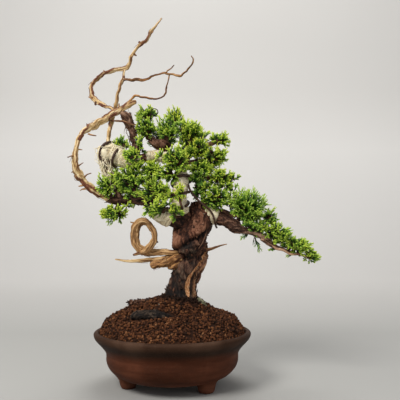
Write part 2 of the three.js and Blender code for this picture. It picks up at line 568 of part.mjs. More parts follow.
// One face becomes a spray: a leaning main tip, and side tips that stay within the face's own share
function addSpray(tuft, face, trio, directions, points, triangles) {
  const heart = trio.reduce((sum, index) => sum.add(directions[index]), new THREE.Vector3()).divideScalar(3);
  if (tuft.entries.some((entry) => entry.dot(heart) > ENTRY_CONE * heart.length())) {
    triangles.push(...trio);
    return;
  }
  const lead = directions[trio[Math.floor(chance(tuft.number, face, 1) * 3)]];
  const lean = heart.clone().lerp(lead, SPRAY_LEAN * chance(tuft.number, face, 2)).normalize();
  const length = THREE.MathUtils.lerp(...MAIN_TIP_REACH, chance(tuft.number, face, 3));
  points.push(placeInTuft(tuft, lean, length));
  const main = points.length - 1;
  [0, 1, 2].forEach((corner) => {
    const [from, to] = [trio[corner], trio[(corner + 1) % 3]];
    if (chance(tuft.number, face, 4 + corner) > SIDE_TIP_SHARE) {
      triangles.push(from, to, main);
      return;
    }
    const middle = directions[from].clone().add(directions[to]).multiplyScalar(0.5);
    const outward = heart.clone().lerp(middle, 0.8).normalize();
    const reach = THREE.MathUtils.lerp(...SIDE_TIP_REACH, chance(tuft.number, face, 7 + corner));
    points.push(placeInTuft(tuft, outward, reach));
    const side = points.length - 1;
    triangles.push(from, to, side, to, main, side, main, from, side);
  });
}

function solidFrom(points, triangles) {
  const geometry = new THREE.BufferGeometry();
  const flat = points.flatMap((point) => [point.x, point.y, point.z]);
  geometry.setAttribute("position", new THREE.Float32BufferAttribute(flat, 3));
  geometry.setIndex(triangles);
  return solidOf(geometry);
}

// A spray that hangs under the cascade: a slim stem whose sides are drawn out into side twigs
function makeUnderSpray(stations, reach, seed) {
  const tapered = stations.map((station, index) => [...station, 1.1 - 0.25 * index]);
  const course = courseOf(tapered, 3);
  const points = [];
  const triangles = [];
  course.forEach((ring) => {
    [0, 1, 2].forEach((corner) => {
      const angle = (corner / 3) * 2 * Math.PI;
      const point = ring.centre.clone().addScaledVector(ring.side, ring.radius * Math.cos(angle));
      points.push(point.addScaledVector(ring.across, ring.radius * Math.sin(angle)));
    });
  });
  for (let step = 0; step + 1 < course.length; step += 1) {
    [0, 1, 2].forEach((corner) => {
      const [low, lowNext] = [step * 3 + corner, step * 3 + ((corner + 1) % 3)];
      const [high, highNext] = [low + 3, lowNext + 3];
      triangles.push(low, highNext, high);
      if (step > 1 && chance(seed, step, corner) > 0.25) {
        const heart = points[low].clone().add(points[lowNext]).add(points[highNext]).divideScalar(3);
        const lean = heart.clone().sub(course[step].centre).normalize();
        lean.addScaledVector(course[step].tangent, 0.9).normalize();
        points.push(heart.addScaledVector(lean, reach * (0.7 + 0.5 * chance(seed, step, corner + 5))));
        const tip = points.length - 1;
        triangles.push(low, lowNext, tip, lowNext, highNext, tip, highNext, low, tip);
      } else {
        triangles.push(low, lowNext, highNext);
      }
    });
  }
  const end = course[course.length - 1];
  points.push(end.centre.clone().addScaledVector(end.tangent, reach * 0.6));
  const last = (course.length - 1) * 3;
  triangles.push(0, 2, 1);
  [0, 1, 2].forEach((corner) => {
    triangles.push(last + corner, last + ((corner + 1) % 3), points.length - 1);
  });
  return solidFrom(points, triangles);
}

// A wire wound round a limb: turns from one fraction of the course to another
function wireRound(course, start, end, turns, startAngle, clearance) {
  const steps = Math.round(turns * 9);
  const rings = [];
  for (let step = 0; step <= steps; step += 1) {
    const share = step / steps;
    const along = (start + (end - start) * share) * (course.length - 1);
    const from = Math.min(Math.floor(along), course.length - 2);
    const low = course[from];
    const high = course[from + 1];
    const mix = along - from;
    const centre = low.centre.clone().lerp(high.centre, mix);
    const side = low.side.clone().lerp(high.side, mix).normalize();
    const across = low.across.clone().lerp(high.across, mix).normalize();
    const reach = THREE.MathUtils.lerp(low.radius, high.radius, mix) + clearance + WIRE_RADIUS;
    const angle = startAngle + share * turns * 2 * Math.PI;
    centre.addScaledVector(side, reach * Math.cos(angle)).addScaledVector(across, reach * Math.sin(angle));
    rings.push({ centre, radius: WIRE_RADIUS });
  }
  let frame = new THREE.Vector3(0.1, 0.2, 1);
  rings.forEach((ring, step) => {
    const ahead = rings[Math.min(step + 1, steps)].centre;
    const behind = rings[Math.max(step - 1, 0)].centre;
    ring.tangent = ahead.clone().sub(behind).normalize();
    frame = frame.clone().addScaledVector(ring.tangent, -frame.dot(ring.tangent)).normalize();
    ring.side = frame;
    ring.across = new THREE.Vector3().crossVectors(ring.tangent, frame);
  });
  return rings;
}

// A wire along a route set by hand
function wireAlong(route) {
  return courseOf(route.map((place) => [...place, WIRE_RADIUS]), 1.3);
}

// A small branch ends just inside the core of its tuft, at a share of its last stretch
function shortened(stations) {
  const [before, end] = stations.slice(-2);
  const tip = before.map((value, index) => THREE.MathUtils.lerp(value, end[index], LAST_STRETCH_SHARE));
  return [...stations.slice(0, -1), tip];
}

// Recipes of all wood
const livingWood = [
  recipe(TRUNK, 1, 12, barkRelief(3, 0.055)),
  recipe(LEADER, 1, 6, barkRelief(5, 0.05)),
  recipe(ELBOW_DOWN, 1, 6, barkRelief(7, 0.05)),
  recipe(LOWER_LEFT, 1, 6, barkRelief(11, 0.06)),
  recipe(CASCADE, 1, 6, barkRelief(13, 0.07)),
  recipe(ROUGH_STUB, 1, 5, barkRelief(17, 0.2)),
  recipe(DARK_BOUGH, 1.4, 5, barkRelief(19, 0.12)),
  recipe(RIGHT_BOUGH, 1, 4, barkRelief(23, 0.05)),
  recipe(RIGHT_MIDDLE_BOUGH, 1, 4, barkRelief(29, 0.05)),
  ...SMALL_BRANCHES.map((stations, number) => (
    recipe(shortened(stations), 1, 3, barkRelief(43 + number, 0.04))
  )),
];
const crownDeadwood = [
  recipe(GREAT_ARC, 1.1, 6, grainRelief(0.12, 0.5)),
  recipe(UPPER_LOOP, 1, 4, grainRelief(0.1, 0.5)),
  recipe(STRAIGHT_STICK, 0.7, 4, grainRelief(0.08, 0.3)),
  recipe(RIGHT_WHIP, 1, 4, grainRelief(0.08, 0.3)),
  recipe(WHIP_LINK, 1, 3, grainRelief(0.08, 0.3)),
  recipe(CROSSING_TWIG, 1, 3, grainRelief(0.05, 0.3)),
  ...CROWN_THORNS.map((stations) => recipe(stations, 1, 3, grainRelief(0, 0))),
];
const ringDeadwood = [
  recipe(RING_START, 1, 6, grainRelief(0.1, 0.4)),
  recipe(RING_END, 1, 6, grainRelief(0.1, 0.4)),
  recipe(FLAT_SPIKE, 1, 4, grainRelief(0.1, 0.2)),
  recipe(BROKEN_STUB, 1, 6, grainRelief(0.14, 0.5)),
  recipe(STUB_LOBE, 1, 5, grainRelief(0.1, 0.5)),
  ...RING_THORNS.map((stations) => recipe(stations, 1, 3, grainRelief(0, 0))),
];
const spikeDeadwood = [recipe(RIGHT_SPIKE, 1, 5, grainRelief(0.06, 0.3))];

const living = mainBody(fuse(solidsOf(livingWood)));
const livingClearance = clearancesOf(livingWood);
const trunkClearance = livingClearance[0];

// Raffia sleeves follow the limb they are wound on, and the elbow's covers two limbs
function raffiaRecipe(stations, first, last) {
  const stretch = stations.slice(first, last + 1).map(([x, z, d, r]) => [x, z, d, r + RAFFIA_THICKNESS]);
  return recipe(stretch, 1, 6, barkRelief(71 + first, 0.03));
}

const raffias = RAFFIA_STRETCHES.map(([name, stations, first, last]) => (
  { name, recipes: [raffiaRecipe(stations, first, last)] }
));
raffias.push({
  name: "raffia_elbow",
  recipes: [raffiaRecipe(LEADER, 11, 14), raffiaRecipe(ELBOW_DOWN, 0, 4)],
});

const deadwood = [
  { name: "deadwood_crown", recipes: crownDeadwood },
  { name: "deadwood_ring", recipes: ringDeadwood },
  { name: "deadwood_right_spike", recipes: spikeDeadwood },
];
deadwood.forEach((piece) => {
  piece.solid = mainBody(cutBy(fuse(solidsOf(piece.recipes)), livingClearance));
  piece.clearance = clearancesOf(piece.recipes);
});
const deadwoodClearance = deadwood.flatMap((piece) => piece.clearance);
raffias.forEach((piece) => {
  piece.solid = mainBody(cutBy(fuse(solidsOf(piece.recipes)), [...livingClearance, ...deadwoodClearance]));
  piece.clearance = clearancesOf(piece.recipes);
});
const raffiaClearance = raffias.flatMap((piece) => piece.clearance);

// Training wires over the raffia
const overRaffia = RAFFIA_THICKNESS + 2 * GAP;
const wires = [
  { name: "wire_arch", course: wireRound(courseOf(LEADER, 1.5), 0.13, 0.34, 2.3, 0.4, overRaffia) },
  { name: "wire_elbow", course: wireAlong(ELBOW_WIRE) },
  { name: "wire_cascade", course: wireAlong(LINK_WIRE) },
];
wires.forEach((piece, number) => {
  const earlierWires = wires.slice(0, number).map((wire) => wire.clearance);
  const others = [...livingClearance, ...deadwoodClearance, ...raffiaClearance, ...earlierWires];
  piece.solid = mainBody(cutBy(limb(piece.course, WIRE_SIDES), others));
  piece.clearance = limb(piece.course, WIRE_SIDES, () => 1, GAP);
});
const wireClearance = wires.map((piece) => piece.clearance);

const roots = [
  { name: "surface_root_front", make: recipe(FRONT_ROOT, 1, 6, barkRelief(83, 0.14)) },
  { name: "surface_root_left", make: recipe(LEFT_ROOT, 1, 5, barkRelief(89, 0.14)) },
];
roots.forEach((piece) => {
  piece.solid = mainBody(piece.make().subtract(trunkClearance));
});
const soil = mainBody(cutBy(makeSoil(), [trunkClearance, ...roots.map((piece) => piece.make(GAP))]));

const obstacles = [...livingClearance, ...deadwoodClearance, ...raffiaClearance, ...wireClearance];
const foliage = tufts.map((tuft) => ({
  name: `foliage_${tuft.name}`,
  solid: mainBody(cutBy(makeTuft(tuft), obstacles)),
}));

// Each hanging spray also keeps clear of the tufts, and of the sprays before it
const sprays = [];
UNDER_SPRAYS.forEach(([name, stations, reach], number) => {
  const leaves = [...foliage, ...sprays].map((piece) => piece.solid);
  const spray = cutBy(makeUnderSpray(stations, reach, number), [...obstacles, ...leaves]);
  sprays.push({ name: `foliage_${name}`, solid: mainBody(spray) });
});

// Materials: colour, roughness and metalness
const FINISHES = {
  stoneware: [0x5a3427, 0.72, 0],
  soil: [0x5b3a2a, 0.95, 0],
  bark: [0x4a2f26, 0.9, 0],
  deadwood: [0xc2a067, 0.8, 0],
  raffia: [0xcfc3a8, 0.85, 0],
  wire: [0x2c1f1c, 0.45, 0.5],
  foliage: [0x4d7a26, 0.7, 0],
};

function addPart(name, solid, finish) {
  const [color, roughness, metalness] = FINISHES[finish];
  const material = new THREE.MeshStandardMaterial({ color, roughness, metalness });
  const mesh = new THREE.Mesh(geometryOf(solid), material);
  mesh.name = name;
  bonsai.add(mesh);
}

const bonsai = new THREE.Group();
bonsai.position.set(-TREE_CENTRE_X, -TREE_CENTRE_Y, 0);
addPart("pot", makePot(), "stoneware");
addPart("soil", soil, "soil");
addPart("trunk_and_branches", living, "bark");
roots.forEach((piece) => addPart(piece.name, piece.solid, "bark"));
deadwood.forEach((piece) => addPart(piece.name, piece.solid, "deadwood"));
raffias.forEach((piece) => addPart(piece.name, piece.solid, "raffia"));
wires.forEach((piece) => addPart(piece.name, piece.solid, "wire"));
foliage.forEach((piece) => addPart(piece.name, piece.solid, "foliage"));
sprays.forEach((piece) => addPart(piece.name, piece.solid, "foliage"));

export default bonsai;
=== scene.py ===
# Looks of the itoigawa juniper bonsai: bark, deadwood, raffia, wires, foliage, soil and pot.
# Sizes are millimetres in the pot's own frame. A place on the tree is [x, z, depth]: x and z
# are read in the upright plane through the pot's centre as it is seen from the front, and
# depth says how far behind that plane (negative: in front of it) the place really lies.

import itertools
import math

import bpy
import numpy as np
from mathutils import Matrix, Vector


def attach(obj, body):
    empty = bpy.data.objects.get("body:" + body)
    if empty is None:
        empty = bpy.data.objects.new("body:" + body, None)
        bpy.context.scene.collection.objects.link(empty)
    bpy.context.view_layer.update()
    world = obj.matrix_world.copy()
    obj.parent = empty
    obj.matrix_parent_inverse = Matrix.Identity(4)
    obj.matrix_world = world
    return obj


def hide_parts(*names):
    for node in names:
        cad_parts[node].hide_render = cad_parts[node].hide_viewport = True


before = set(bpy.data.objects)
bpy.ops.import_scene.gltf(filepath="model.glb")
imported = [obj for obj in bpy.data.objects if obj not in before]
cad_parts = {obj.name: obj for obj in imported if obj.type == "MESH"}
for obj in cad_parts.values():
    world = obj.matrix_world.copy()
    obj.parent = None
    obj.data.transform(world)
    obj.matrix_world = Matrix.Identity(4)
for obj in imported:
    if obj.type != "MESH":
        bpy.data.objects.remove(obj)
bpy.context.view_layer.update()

MM = 0.001
EYE = np.array([27.0, -574.0, 147.1])
EYE_TILT_DEG = 3.43
SENSOR_MM = 36.0
PICTURE_PIXELS = 400
FOCAL_PIXELS = 574
TREE_CENTRE_X = 22.8

# Where each part's random numbers start; a tuft or spray adds its own number
SEEDS = {
    "tree": 17, "roots": 19, "deadwood": 23, "raffia": 29, "soil": 31, "moss": 37, "tuft": 500,
    "under_spray": 700,
}

# The distance between the rings of most limbs
SPACING = 0.8
# The thinnest a limb gets, and the least share of its radius that a relief leaves
LEAST_RADIUS = 0.15
LEAST_REACH_SHARE = 0.35
# Where the rings of a limb's rounded ends lie, as shares of the height of the dome
CAP_SHARES = (0.5, 0.87)
PLATE_TERRACES = 7
# A scale of bark, from its fixed end at 0 to its tip at 1
FLAKE_OUTLINE = [[0, -0.5], [0.3, -0.62], [0.75, -0.4], [1, 0], [0.75, 0.4], [0.3, 0.62], [0, 0.5]]

# The pot's outline from the drain hole over the outside and the lip, then back down inside
POT_OUTSIDE = [
    [8, 9], [30, 9], [46, 9], [53, 11.2], [58.8, 15.2], [62.9, 20.6], [64.6, 26], [64.6, 30], [64.9, 33],
    [66.6, 36.2], [69.6, 40], [73.4, 44], [75.6, 46.6], [76.8, 49.2], [76.9, 51], [76, 52.3],
    [74.4, 52.9], [72.6, 52.8], [71.4, 51.4],
]
POT_INSIDE = [[66.2, 42], [59.8, 32], [58.6, 22.6], [50, 14.4], [30, 14.4], [8, 14.4]]
POT_SEGMENTS = 160
FOOT_RING_RADIUS = 44
FOOT_FIRST_ANGLE_DEG = -161.7
FOOT_SEGMENTS = 36
# A foot's side, from the ground up to where it is closed inside the pot's wall
FOOT_OUTLINE = [[4.6, 0], [6.4, 0.5], [7.4, 2], [8.2, 5], [9.4, 8.6], [11, 11], [13, 13.4]]
FOOT_HEIGHT = 13.6
FOOT_AXIS_RADIUS = 0.01

# The mound's outline on both sides, as [distance from the middle, z]
SOIL_EDGE_RADIUS = 71.2
SOIL_LEFT = [
    [0, 86.8], [10, 86.6], [20, 83.6], [30, 80.6], [44, 74.8], [53, 70.4], [60, 66.8], [66, 62.6],
    [71.2, 51.6],
]
SOIL_RIGHT = [
    [0, 87.8], [10, 87.6], [19, 86.6], [27, 82.8], [36, 76.6], [43, 72.4], [52, 69], [62, 65.8], [71.2, 51.6],
]
SOIL_GRAINS = 7800
GRAIN_RADIUS = [0.8, 1.42]
LARGE_GRAIN_SHARE = 0.12
LARGE_GRAIN_SCALE = 1.3
GRAIN_BUMPS = (0.74, 1.16)
GRAIN_STRETCH = (0.72, 1.18)
# No grain lies nearer than this to a surface root
ROOT_CLEARANCE = 0.9
# More than the edges of an icosahedron of radius 1, and less than its diagonals
ICOSAHEDRON_REACH = 1.06
BED_RINGS = 44
BED_SIDES = 100
BED_DEPTH = 1.3
BED_UNDERSIDE_Z = 40.0
# The bed under the grains is painted dark, as the shade between them
BED_SHADE_TINT = 0.12
# The soil is washed away in front of the front root, and dark round the trunk's foot
HOLLOW_AHEAD = 3
HOLLOW_DEPTH = 4.2
HOLLOW_WIDTH = 5
DARK_SOIL_MIDDLE = (10, -4)
DARK_SOIL_REACH = (24, 21)
MOSS_STEMS = 90
MOSS_MIDDLE = (28.5, -8)
MOSS_SPREAD = (1.8, 3.4)
MOSS_LENGTH = (1.6, 3.6)
STRAW = [[-14, 78.4, -24, 0.3], [-12.6, 77.2, -26.4, 0.42], [-11, 75.8, -28.4, 0.4], [-9.6, 75, -29.6, 0.25]]

# Limbs of living wood: stations of [x, z, depth, radius], from the root end outwards
TRUNK = [
    [8, 60, 2, 11], [8, 74, 2, 15], [8, 86, 1, 16.2], [9, 95, 0, 14], [11.3, 104, 0, 13],
    [14.3, 113, 0, 13.2], [18, 121, 1, 12.3], [18.3, 129, 1, 14.6], [16.4, 137, 0, 18.2],
    [17.3, 145, 0, 18], [19.3, 153, 0, 17.2], [23, 160, 0, 16.2], [24.2, 167, 0, 13.8],
    [24, 173, 0, 9.6], [23.5, 177, 0, 5],
]
LEADER = [
    [13, 160, -5, 7.4], [7.6, 170, -11, 6.4], [5.6, 180, -14, 5.6], [6.6, 190, -15, 5.4],
    [8, 198, -13, 5.2], [8, 206, -6, 5], [6, 213, 0, 4.8], [2, 220, 2, 4.5], [-5, 224.6, 0, 4.2],
    [-14, 226, -2, 4], [-25, 225.4, -4, 4], [-35, 222.4, -6, 4.8], [-46, 220.6, -8, 5.8],
    [-56, 225.4, -9, 6.4], [-66, 232.4, -8, 6.6],
]
ELBOW_DOWN = [
    [-66.6, 233, -8, 6], [-67.4, 223, -8, 5.8], [-66, 213, -7, 4.8], [-62.6, 204, -6, 3.8],
    [-58, 195, -5, 3.4], [-55, 187, -5, 3.2], [-54, 180.5, -6, 2.6],
]
LOWER_LEFT = [
    [15, 156, -3, 9], [5, 159.8, -8, 8], [-4, 162.8, -12, 6.8], [-12, 166.2, -14, 5.8],
    [-20, 171.8, -14, 5], [-27, 178.8, -12, 4.2], [-36, 181.4, -9, 4], [-48, 181.8, -6, 4],
    [-60, 181, -4, 3.5], [-65, 181.8, -3, 3.1],
]
CASCADE = [
    [24, 164, 0, 9.5], [34, 167, 0, 8], [42, 165, -2, 7], [49, 162, -4, 6.4], [56, 159, -6, 5.9],
    [63, 154.5, -7, 5.3], [70, 151.4, -8, 4.3], [78, 149.6, -8, 3.7], [86, 146.4, -8, 3.5],
    [93, 141.8, -7, 3], [100, 137, -6, 2.5], [108, 133.4, -6, 2], [117, 130.4, -5, 1.6],
    [128, 127.6, -4, 1.2], [138, 125.2, -4, 0.8],
]
ROUGH_STUB = [
    [-38, 223, -5, 3.6], [-38.6, 232, -6, 3.9], [-40, 242, -5, 3.9], [-42.6, 251, -4, 4.1],
    [-45.4, 260, -3, 4.5], [-49, 266.4, -3, 4.3], [-51.4, 269.4, -2, 2.6],
]
DARK_BOUGH = [
    [2, 222, 2, 4.6], [-4, 230, 0, 4.8], [-11, 236.4, -3, 5.6], [-18, 239, -4, 5],
    [-24, 243.6, -2, 3.4], [-28, 250, 0, 2.2],
]
RIGHT_BOUGH = [
    [4, 218, 1, 3.8], [11, 226, 6, 3.2], [19, 230, 6, 2.8], [27, 234, 2, 2.6], [37, 238, 0, 2.1],
    [48, 243, 0, 1.3],
]
RIGHT_MIDDLE_BOUGH = [
    [9, 204, -7, 3.2], [18, 204, -5, 2.6], [28, 204.6, -3, 2.3], [38, 204.4, -3, 2], [49, 205, -4, 1.3],
]
SMALL_BRANCHES = [
    [[-27, 247, -1, 2], [-29, 256, 3, 1.8], [-28, 263, 5, 1.5], [-28, 269, 6, 1]],
    [[-34, 223, -6, 2.4], [-36, 230, -12, 1.8], [-36, 237, -11, 1.2]],
    [[-9, 236, -1, 3.2], [-7, 245, -3, 2.3], [-5, 253, -5, 1.5]],
    [[-6, 249, -3, 1.9], [-1, 258, 1, 1.6], [1, 266, 4, 1]],
    [[15, 228, 6, 2.6], [17, 240, 4, 2], [17, 252, 0, 1.3]],
    [[23, 232, 4, 2.2], [26, 233, -4, 1.4]],
    [[30, 235, 1, 2], [38, 230, -2, 1.7], [46, 227, -4, 1.1]],
    [[6, 212, -2, 2.8], [3, 217, -16, 2], [2, 224, -29, 1.4]],
    [[4, 215, -9, 1.8], [-3, 211, -20, 1.1]],
    [[22, 204.2, -4, 2], [27, 210, -5, 1.6], [31, 217, -4, 1.2]],
    [[31, 170, 0, 4], [35, 179, -4, 2.6], [41, 184, -7, 2], [47, 185, -8, 1.3]],
    [[29, 172, 0, 3], [31, 184, -3, 2], [27, 195, -5, 1.2]],
    [[4, 216, 2, 3.2], [-1, 226, 14, 2.6], [-7, 235, 22, 2], [-12, 244, 27, 1.3]],
    [[6, 210, -2, 3], [13, 220, 12, 2.7], [17, 230, 22, 2], [18, 238, 28, 1.3]],
    [[12, 218, 9, 2.2], [24, 221, 17, 1.9], [36, 222, 22, 1.2]],
    [[-46, 223, -8, 2.6], [-51, 230, -5, 2], [-54, 237, -2, 1.3]],
    [[-39, 224, -7, 2.2], [-42, 227, -20, 1.2]],
    [[-58, 181.4, -5, 2.4], [-64, 189, -7, 1.9], [-68, 197, -7, 1.2]],
    [[-33, 180.6, -10, 2.6], [-38, 190, -11, 2.1], [-44, 199, -9, 1.4]],
    [[-40, 181, -8, 2.4], [-44, 188, 4, 2], [-48, 196, 15, 1.3]],
    [[-21, 174.6, -14, 2.8], [-20, 182, -15, 2.2], [-20, 190, -14, 1.4]],
    [[-21, 186, -14, 1.8], [-23, 200, -11, 1.5], [-22, 213, -9, 1]],
    [[-51, 181, -6, 2.2], [-56, 175, -9, 1.7], [-60, 168, -9, 1.1]],
    [[-8, 167.4, -14, 2.6], [-10, 169.6, -21, 1.6], [-11, 173, -24, 1.2]],
    [[9, 172, -11, 2.4], [9, 174, -24, 1.4], [7, 181, -31, 1.2], [7, 189, -31, 0.9]],
    [[42, 169, -2, 2.6], [49, 170.4, -4, 2.4], [56, 168, -5, 2.3], [63, 166, -6, 2.2], [77, 174, -7, 1.4]],
    [[60, 157, -7, 2.4], [67, 163, 3, 1.9], [75, 170, 13, 1.3]],
    [[86, 147, -8, 2.2], [93, 156, -7, 1.8], [98, 165, -6, 1.1]],
    [[93, 142, -7, 2], [99, 146, -7, 1.5], [104, 149.4, -7, 1.1]],
    [[114, 131.4, -5, 1.4], [120, 135, -5, 1.2], [126, 137.4, -5, 0.9]],
]
# The second thin twig along the end of the cascade
CASCADE_TWIN = [
    [88, 142.4, -10, 1.3], [95, 137.6, -10, 1.5], [103, 133, -9, 1.3], [110, 131.4, -9, 1.2],
    [117, 127.6, -8, 1.1], [125, 127, -7, 1], [133, 124.4, -6, 0.6],
]
# Scales of bark on the trunk: how many, their length and lift, and the bark's height and warmth
TRUNK_FLAKES = ((420, 4.2, 1.3, 0.46, 0.45), (130, 3.6, 1.1, 0.6, 0.8))
# How far the limbs with rough bark wind to and fro, and how much thinner they are under it
ROUGH_KINK_AND_SLIM = (2.2, 0.86)
# Thin shoots: the curled one in the crown, and the one on the trunk's knob
CURL_FOOT = [[-24, 258, -4, 0.6], [-23, 264, -6, 0.5]]
CURL_MIDDLE = (-19, 270.6, -4)
CURL_REACH = 3.4
KNOB_THREAD = [[25.6, 133, -15.6, 0.4], [29, 138, -16.4, 0.45], [32, 144.6, -15, 0.45], [34, 151, -12, 0.3]]
# The bare strip of pale wood down the front of the trunk as [x, z], and its half width as [z, width]
BARE_STRIP = [
    [32.5, 136], [31, 129], [28, 121], [22.6, 113], [17.8, 106.5], [14.8, 100], [14, 94], [15, 88],
    [16.6, 82],
]
BARE_STRIP_WIDTH = [[82, 1.2], [90, 1.8], [98, 2.1], [106, 1.6], [113, 1.1], [122, 0.9], [136, 0.7]]
# No scale of bark lies nearer than this to the strip's middle, in half widths
STRIP_CLEARANCE = 2.6

# The crease under the trunk's knob rises from here to the right
CREASE_X = 7
CREASE_Z = 133.5
CREASE_SLOPE = 0.6
# Where things on the trunk fade in, as [where there is nothing, where it is full]
STRIP_TOP_Z = (138, 132)
CREASE_LEFT_X = (37, 27)
WARM_RIGHT_X = (19, 27)
DARK_FOOT_X = (14, 9)
DARK_FOOT_Z = (98, 86)

# Deadwood
CROWN_KINK_AND_SLIM = (1.3, 0.83)
DEADWOOD_KINK_AND_SLIM = (0.3, 0.95)
GREAT_ARC = [
    [-64, 182, -3, 3.7], [-69, 184.4, -3, 3.8], [-76, 188.6, -4, 4], [-84, 194, -6, 4.1],
    [-89.6, 199.6, -8, 3.8], [-94, 206, -10, 4], [-97.6, 214, -12, 3.8], [-99, 222, -13, 3.2],
    [-98.6, 230, -13, 2.9], [-96.4, 238, -12, 3.4], [-93, 246, -10, 3.8], [-87, 252.6, -8, 4.2],
    [-79, 256.8, -6, 3.7], [-71, 261.6, -4, 3.6], [-65.6, 266, -3, 3.6], [-60, 269.6, -3, 3.4],
    [-54, 272.4, -4, 3.1], [-48, 276, -6, 2.8], [-43, 279.4, -7, 2.6], [-38.6, 280.8, -8, 2],
]
GREAT_ARC_BROWN = [0.1, 0, 0, 0, -0.1, -0.1, -0.1, 0, 0, 0.1, 0.7]
UPPER_LOOP = [
    [-57, 271, -3, 2.7], [-63, 273.6, -1, 2], [-70, 277.6, 3, 2.1], [-76.6, 281.6, 7, 2.3],
    [-81.4, 286, 10, 2.4], [-83.4, 294, 12, 2.5], [-81, 300, 13, 2.2], [-77, 305.4, 12, 2.1],
    [-70.6, 310, 10, 2.1], [-63, 312, 7, 2.1], [-55, 314, 3, 2], [-47.6, 315.4, 0, 2],
    [-45, 321, -2, 2.1], [-43, 327, -4, 2.3], [-39.4, 332, -5, 2.1], [-36, 337.4, -6, 1.8],
    [-33, 341.4, -7, 2], [-28, 344, -8, 1.6], [-25, 349, -8, 1.4], [-23.6, 353, -8, 1.7],
    [-19, 358, -8, 1.1], [-12.4, 367.6, -8, 0.6],
]
STRAIGHT_STICK = [
    [-66, 239, -7, 3], [-65.4, 246, -4, 2.9], [-63.6, 255, 0, 2.6], [-61.4, 264, 4, 2.1],
    [-59.2, 273, 4, 2], [-57.6, 282, 4, 2], [-56, 290, 3, 1.8], [-54.4, 298, 2, 1.8],
    [-51.4, 304.6, 1, 2], [-50, 313.4, 1, 1.6],
]
RIGHT_WHIP = [
    [-52, 304, 1, 1.5], [-45, 303.6, 0, 1.3], [-37, 303.6, -2, 1.8], [-30, 303, -4, 1.2],
    [-22, 306, -6, 1.2], [-14, 309.8, -8, 1.2], [-7, 310.4, -9, 1.2], [0, 308.8, -10, 1.1],
    [8, 307.6, -11, 1.1], [12, 312, -11, 1.1], [18.4, 319.4, -12, 1], [19.8, 324, -12, 0.8],
    [18.2, 328.4, -12, 0.5],
]
WHIP_LINK = [
    [-3.4, 309.4, -9, 1.1], [-5.4, 302, -9, 1], [-7.4, 294, -8, 1], [-8.4, 288.6, -8, 1.1],
    [-13, 285.4, -8, 1], [-20, 283.6, -8, 1.1], [-27, 285.4, -8, 1.1], [-34, 287, -8, 1.1],
    [-39, 287.4, -7, 1.3], [-44, 283, -7, 1.4], [-49, 277, -6, 1.5],
]
CROSSING_TWIG = [
    [-62.4, 262, 2, 1.1], [-55, 261.6, -6, 1], [-48, 260.6, -10, 1],
    [-42, 259, -10, 0.8], [-36, 257, -9, 0.5],
]
CROWN_THORNS = [
    [[-8, 310.4, -9, 0.8], [-4, 314, -9, 0.6], [0.6, 319, -9, 0.3]],
    [[-86, 253, -8, 1.4], [-87, 259, -8, 0.4]],
    [[-89, 251, -9, 2], [-93.6, 248, -12, 0.7]],
    [[-86, 247.6, -9, 1.2], [-77.6, 246.4, -10, 0.6]],
    [[-97.6, 232, -12, 1.2], [-92, 231.6, -12, 0.4]],
    [[-99, 226, -13, 1.2], [-106, 224.6, -20, 0.5]],
    [[-96, 215, -12, 1.2], [-90.4, 219.6, -13, 0.35]],
    [[-97, 211, -11, 1.2], [-102, 209.2, -12, 0.4]],
    [[-91, 203, -9, 1.4], [-88.4, 205, -10, 1], [-83, 207.6, -11, 0.4]],
    [[-88, 197.6, -8, 1.6], [-94.6, 196, -10, 0.7]],
    [[-86, 193.4, -7, 1.4], [-93.6, 191, -8, 0.4]],
    [[-81, 284.6, 9, 1.6], [-86.4, 286, 9, 0.5]],
    [[-82, 294, 12, 1.6], [-86, 295.4, 12, 0.5]],
    [[-55, 272.6, -3, 1.4], [-54.6, 279, -3, 0.4]],
    [[-24, 351, -8, 1.4], [-20.4, 353.4, -8, 0.7]],
    [[-32, 340, -7, 1.6], [-35.2, 342.4, -7, 0.9]],
    [[-40, 330, -5, 1.6], [-38, 328.8, -5, 0.6]],
    [[-69, 310.4, 9, 1.6], [-70.6, 313.4, 9, 0.6]],
    [[-77.4, 280.8, 7, 1.7], [-79, 277.6, 7, 0.7]],
]
RING_START = [
    [9, 128, -6, 3.4], [0, 128.6, -9, 3.4], [-8, 129.4, -9, 3.3], [-16, 129.8, -8, 3.3],
    [-23, 129.8, -7, 3.3], [-30, 131, -7, 3.6], [-35, 134.8, -8, 4], [-37.6, 141, -9, 4.1],
    [-38, 149, -10, 4], [-36.2, 155.6, -12, 3.9], [-31, 159.8, -13, 3.8], [-25.4, 158.4, -14, 3.5],
    [-21, 153, -15, 3.3],
]
RING_END = [
    [-22, 154.6, -15, 3.2], [-19.6, 150, -15.5, 3.2], [-18.8, 144.6, -15.5, 3.1], [-20.6, 138.6, -15, 3],
    [-24.4, 133.8, -14, 2.8], [-29, 130, -12, 2.2], [-34, 128.6, -10, 1.4], [-39.4, 127, -9, 0.7],
]
FLAT_SPIKE = [
    [6, 123.8, -6, 2.8], [-6, 123.6, -9, 2.7], [-18, 122.4, -10, 2.4], [-31, 121.2, -11, 2],
    [-44, 120.6, -12, 1.4], [-57.4, 122.2, -12, 0.5],
]
BROKEN_STUB = [
    [8, 126, -6, 4.6], [0, 123.4, -9, 5], [-7, 120.6, -11, 5.1],
    [-14, 118.6, -12, 4.8], [-20.4, 116.4, -13, 3.6],
]
STUB_LOBE = [[6, 119, -8, 3.4], [0, 115.4, -10, 3.4], [-4, 114.4, -11, 2.2]]
RING_THORNS = [
    [[-35.6, 157, -12, 1.4], [-42.6, 159.4, -12, 0.5]],
    [[-18.6, 142, -15, 1.4], [-15, 139.2, -15, 0.5]],
    [[8, 122, -8, 3.4], [2, 122, -9, 2.6]],
]
RIGHT_SPIKE = [[28, 129.6, -6, 1.8], [37, 132.4, -7, 1.4], [46, 135.6, -8, 0.9], [53.6, 137.4, -9, 0.4]]
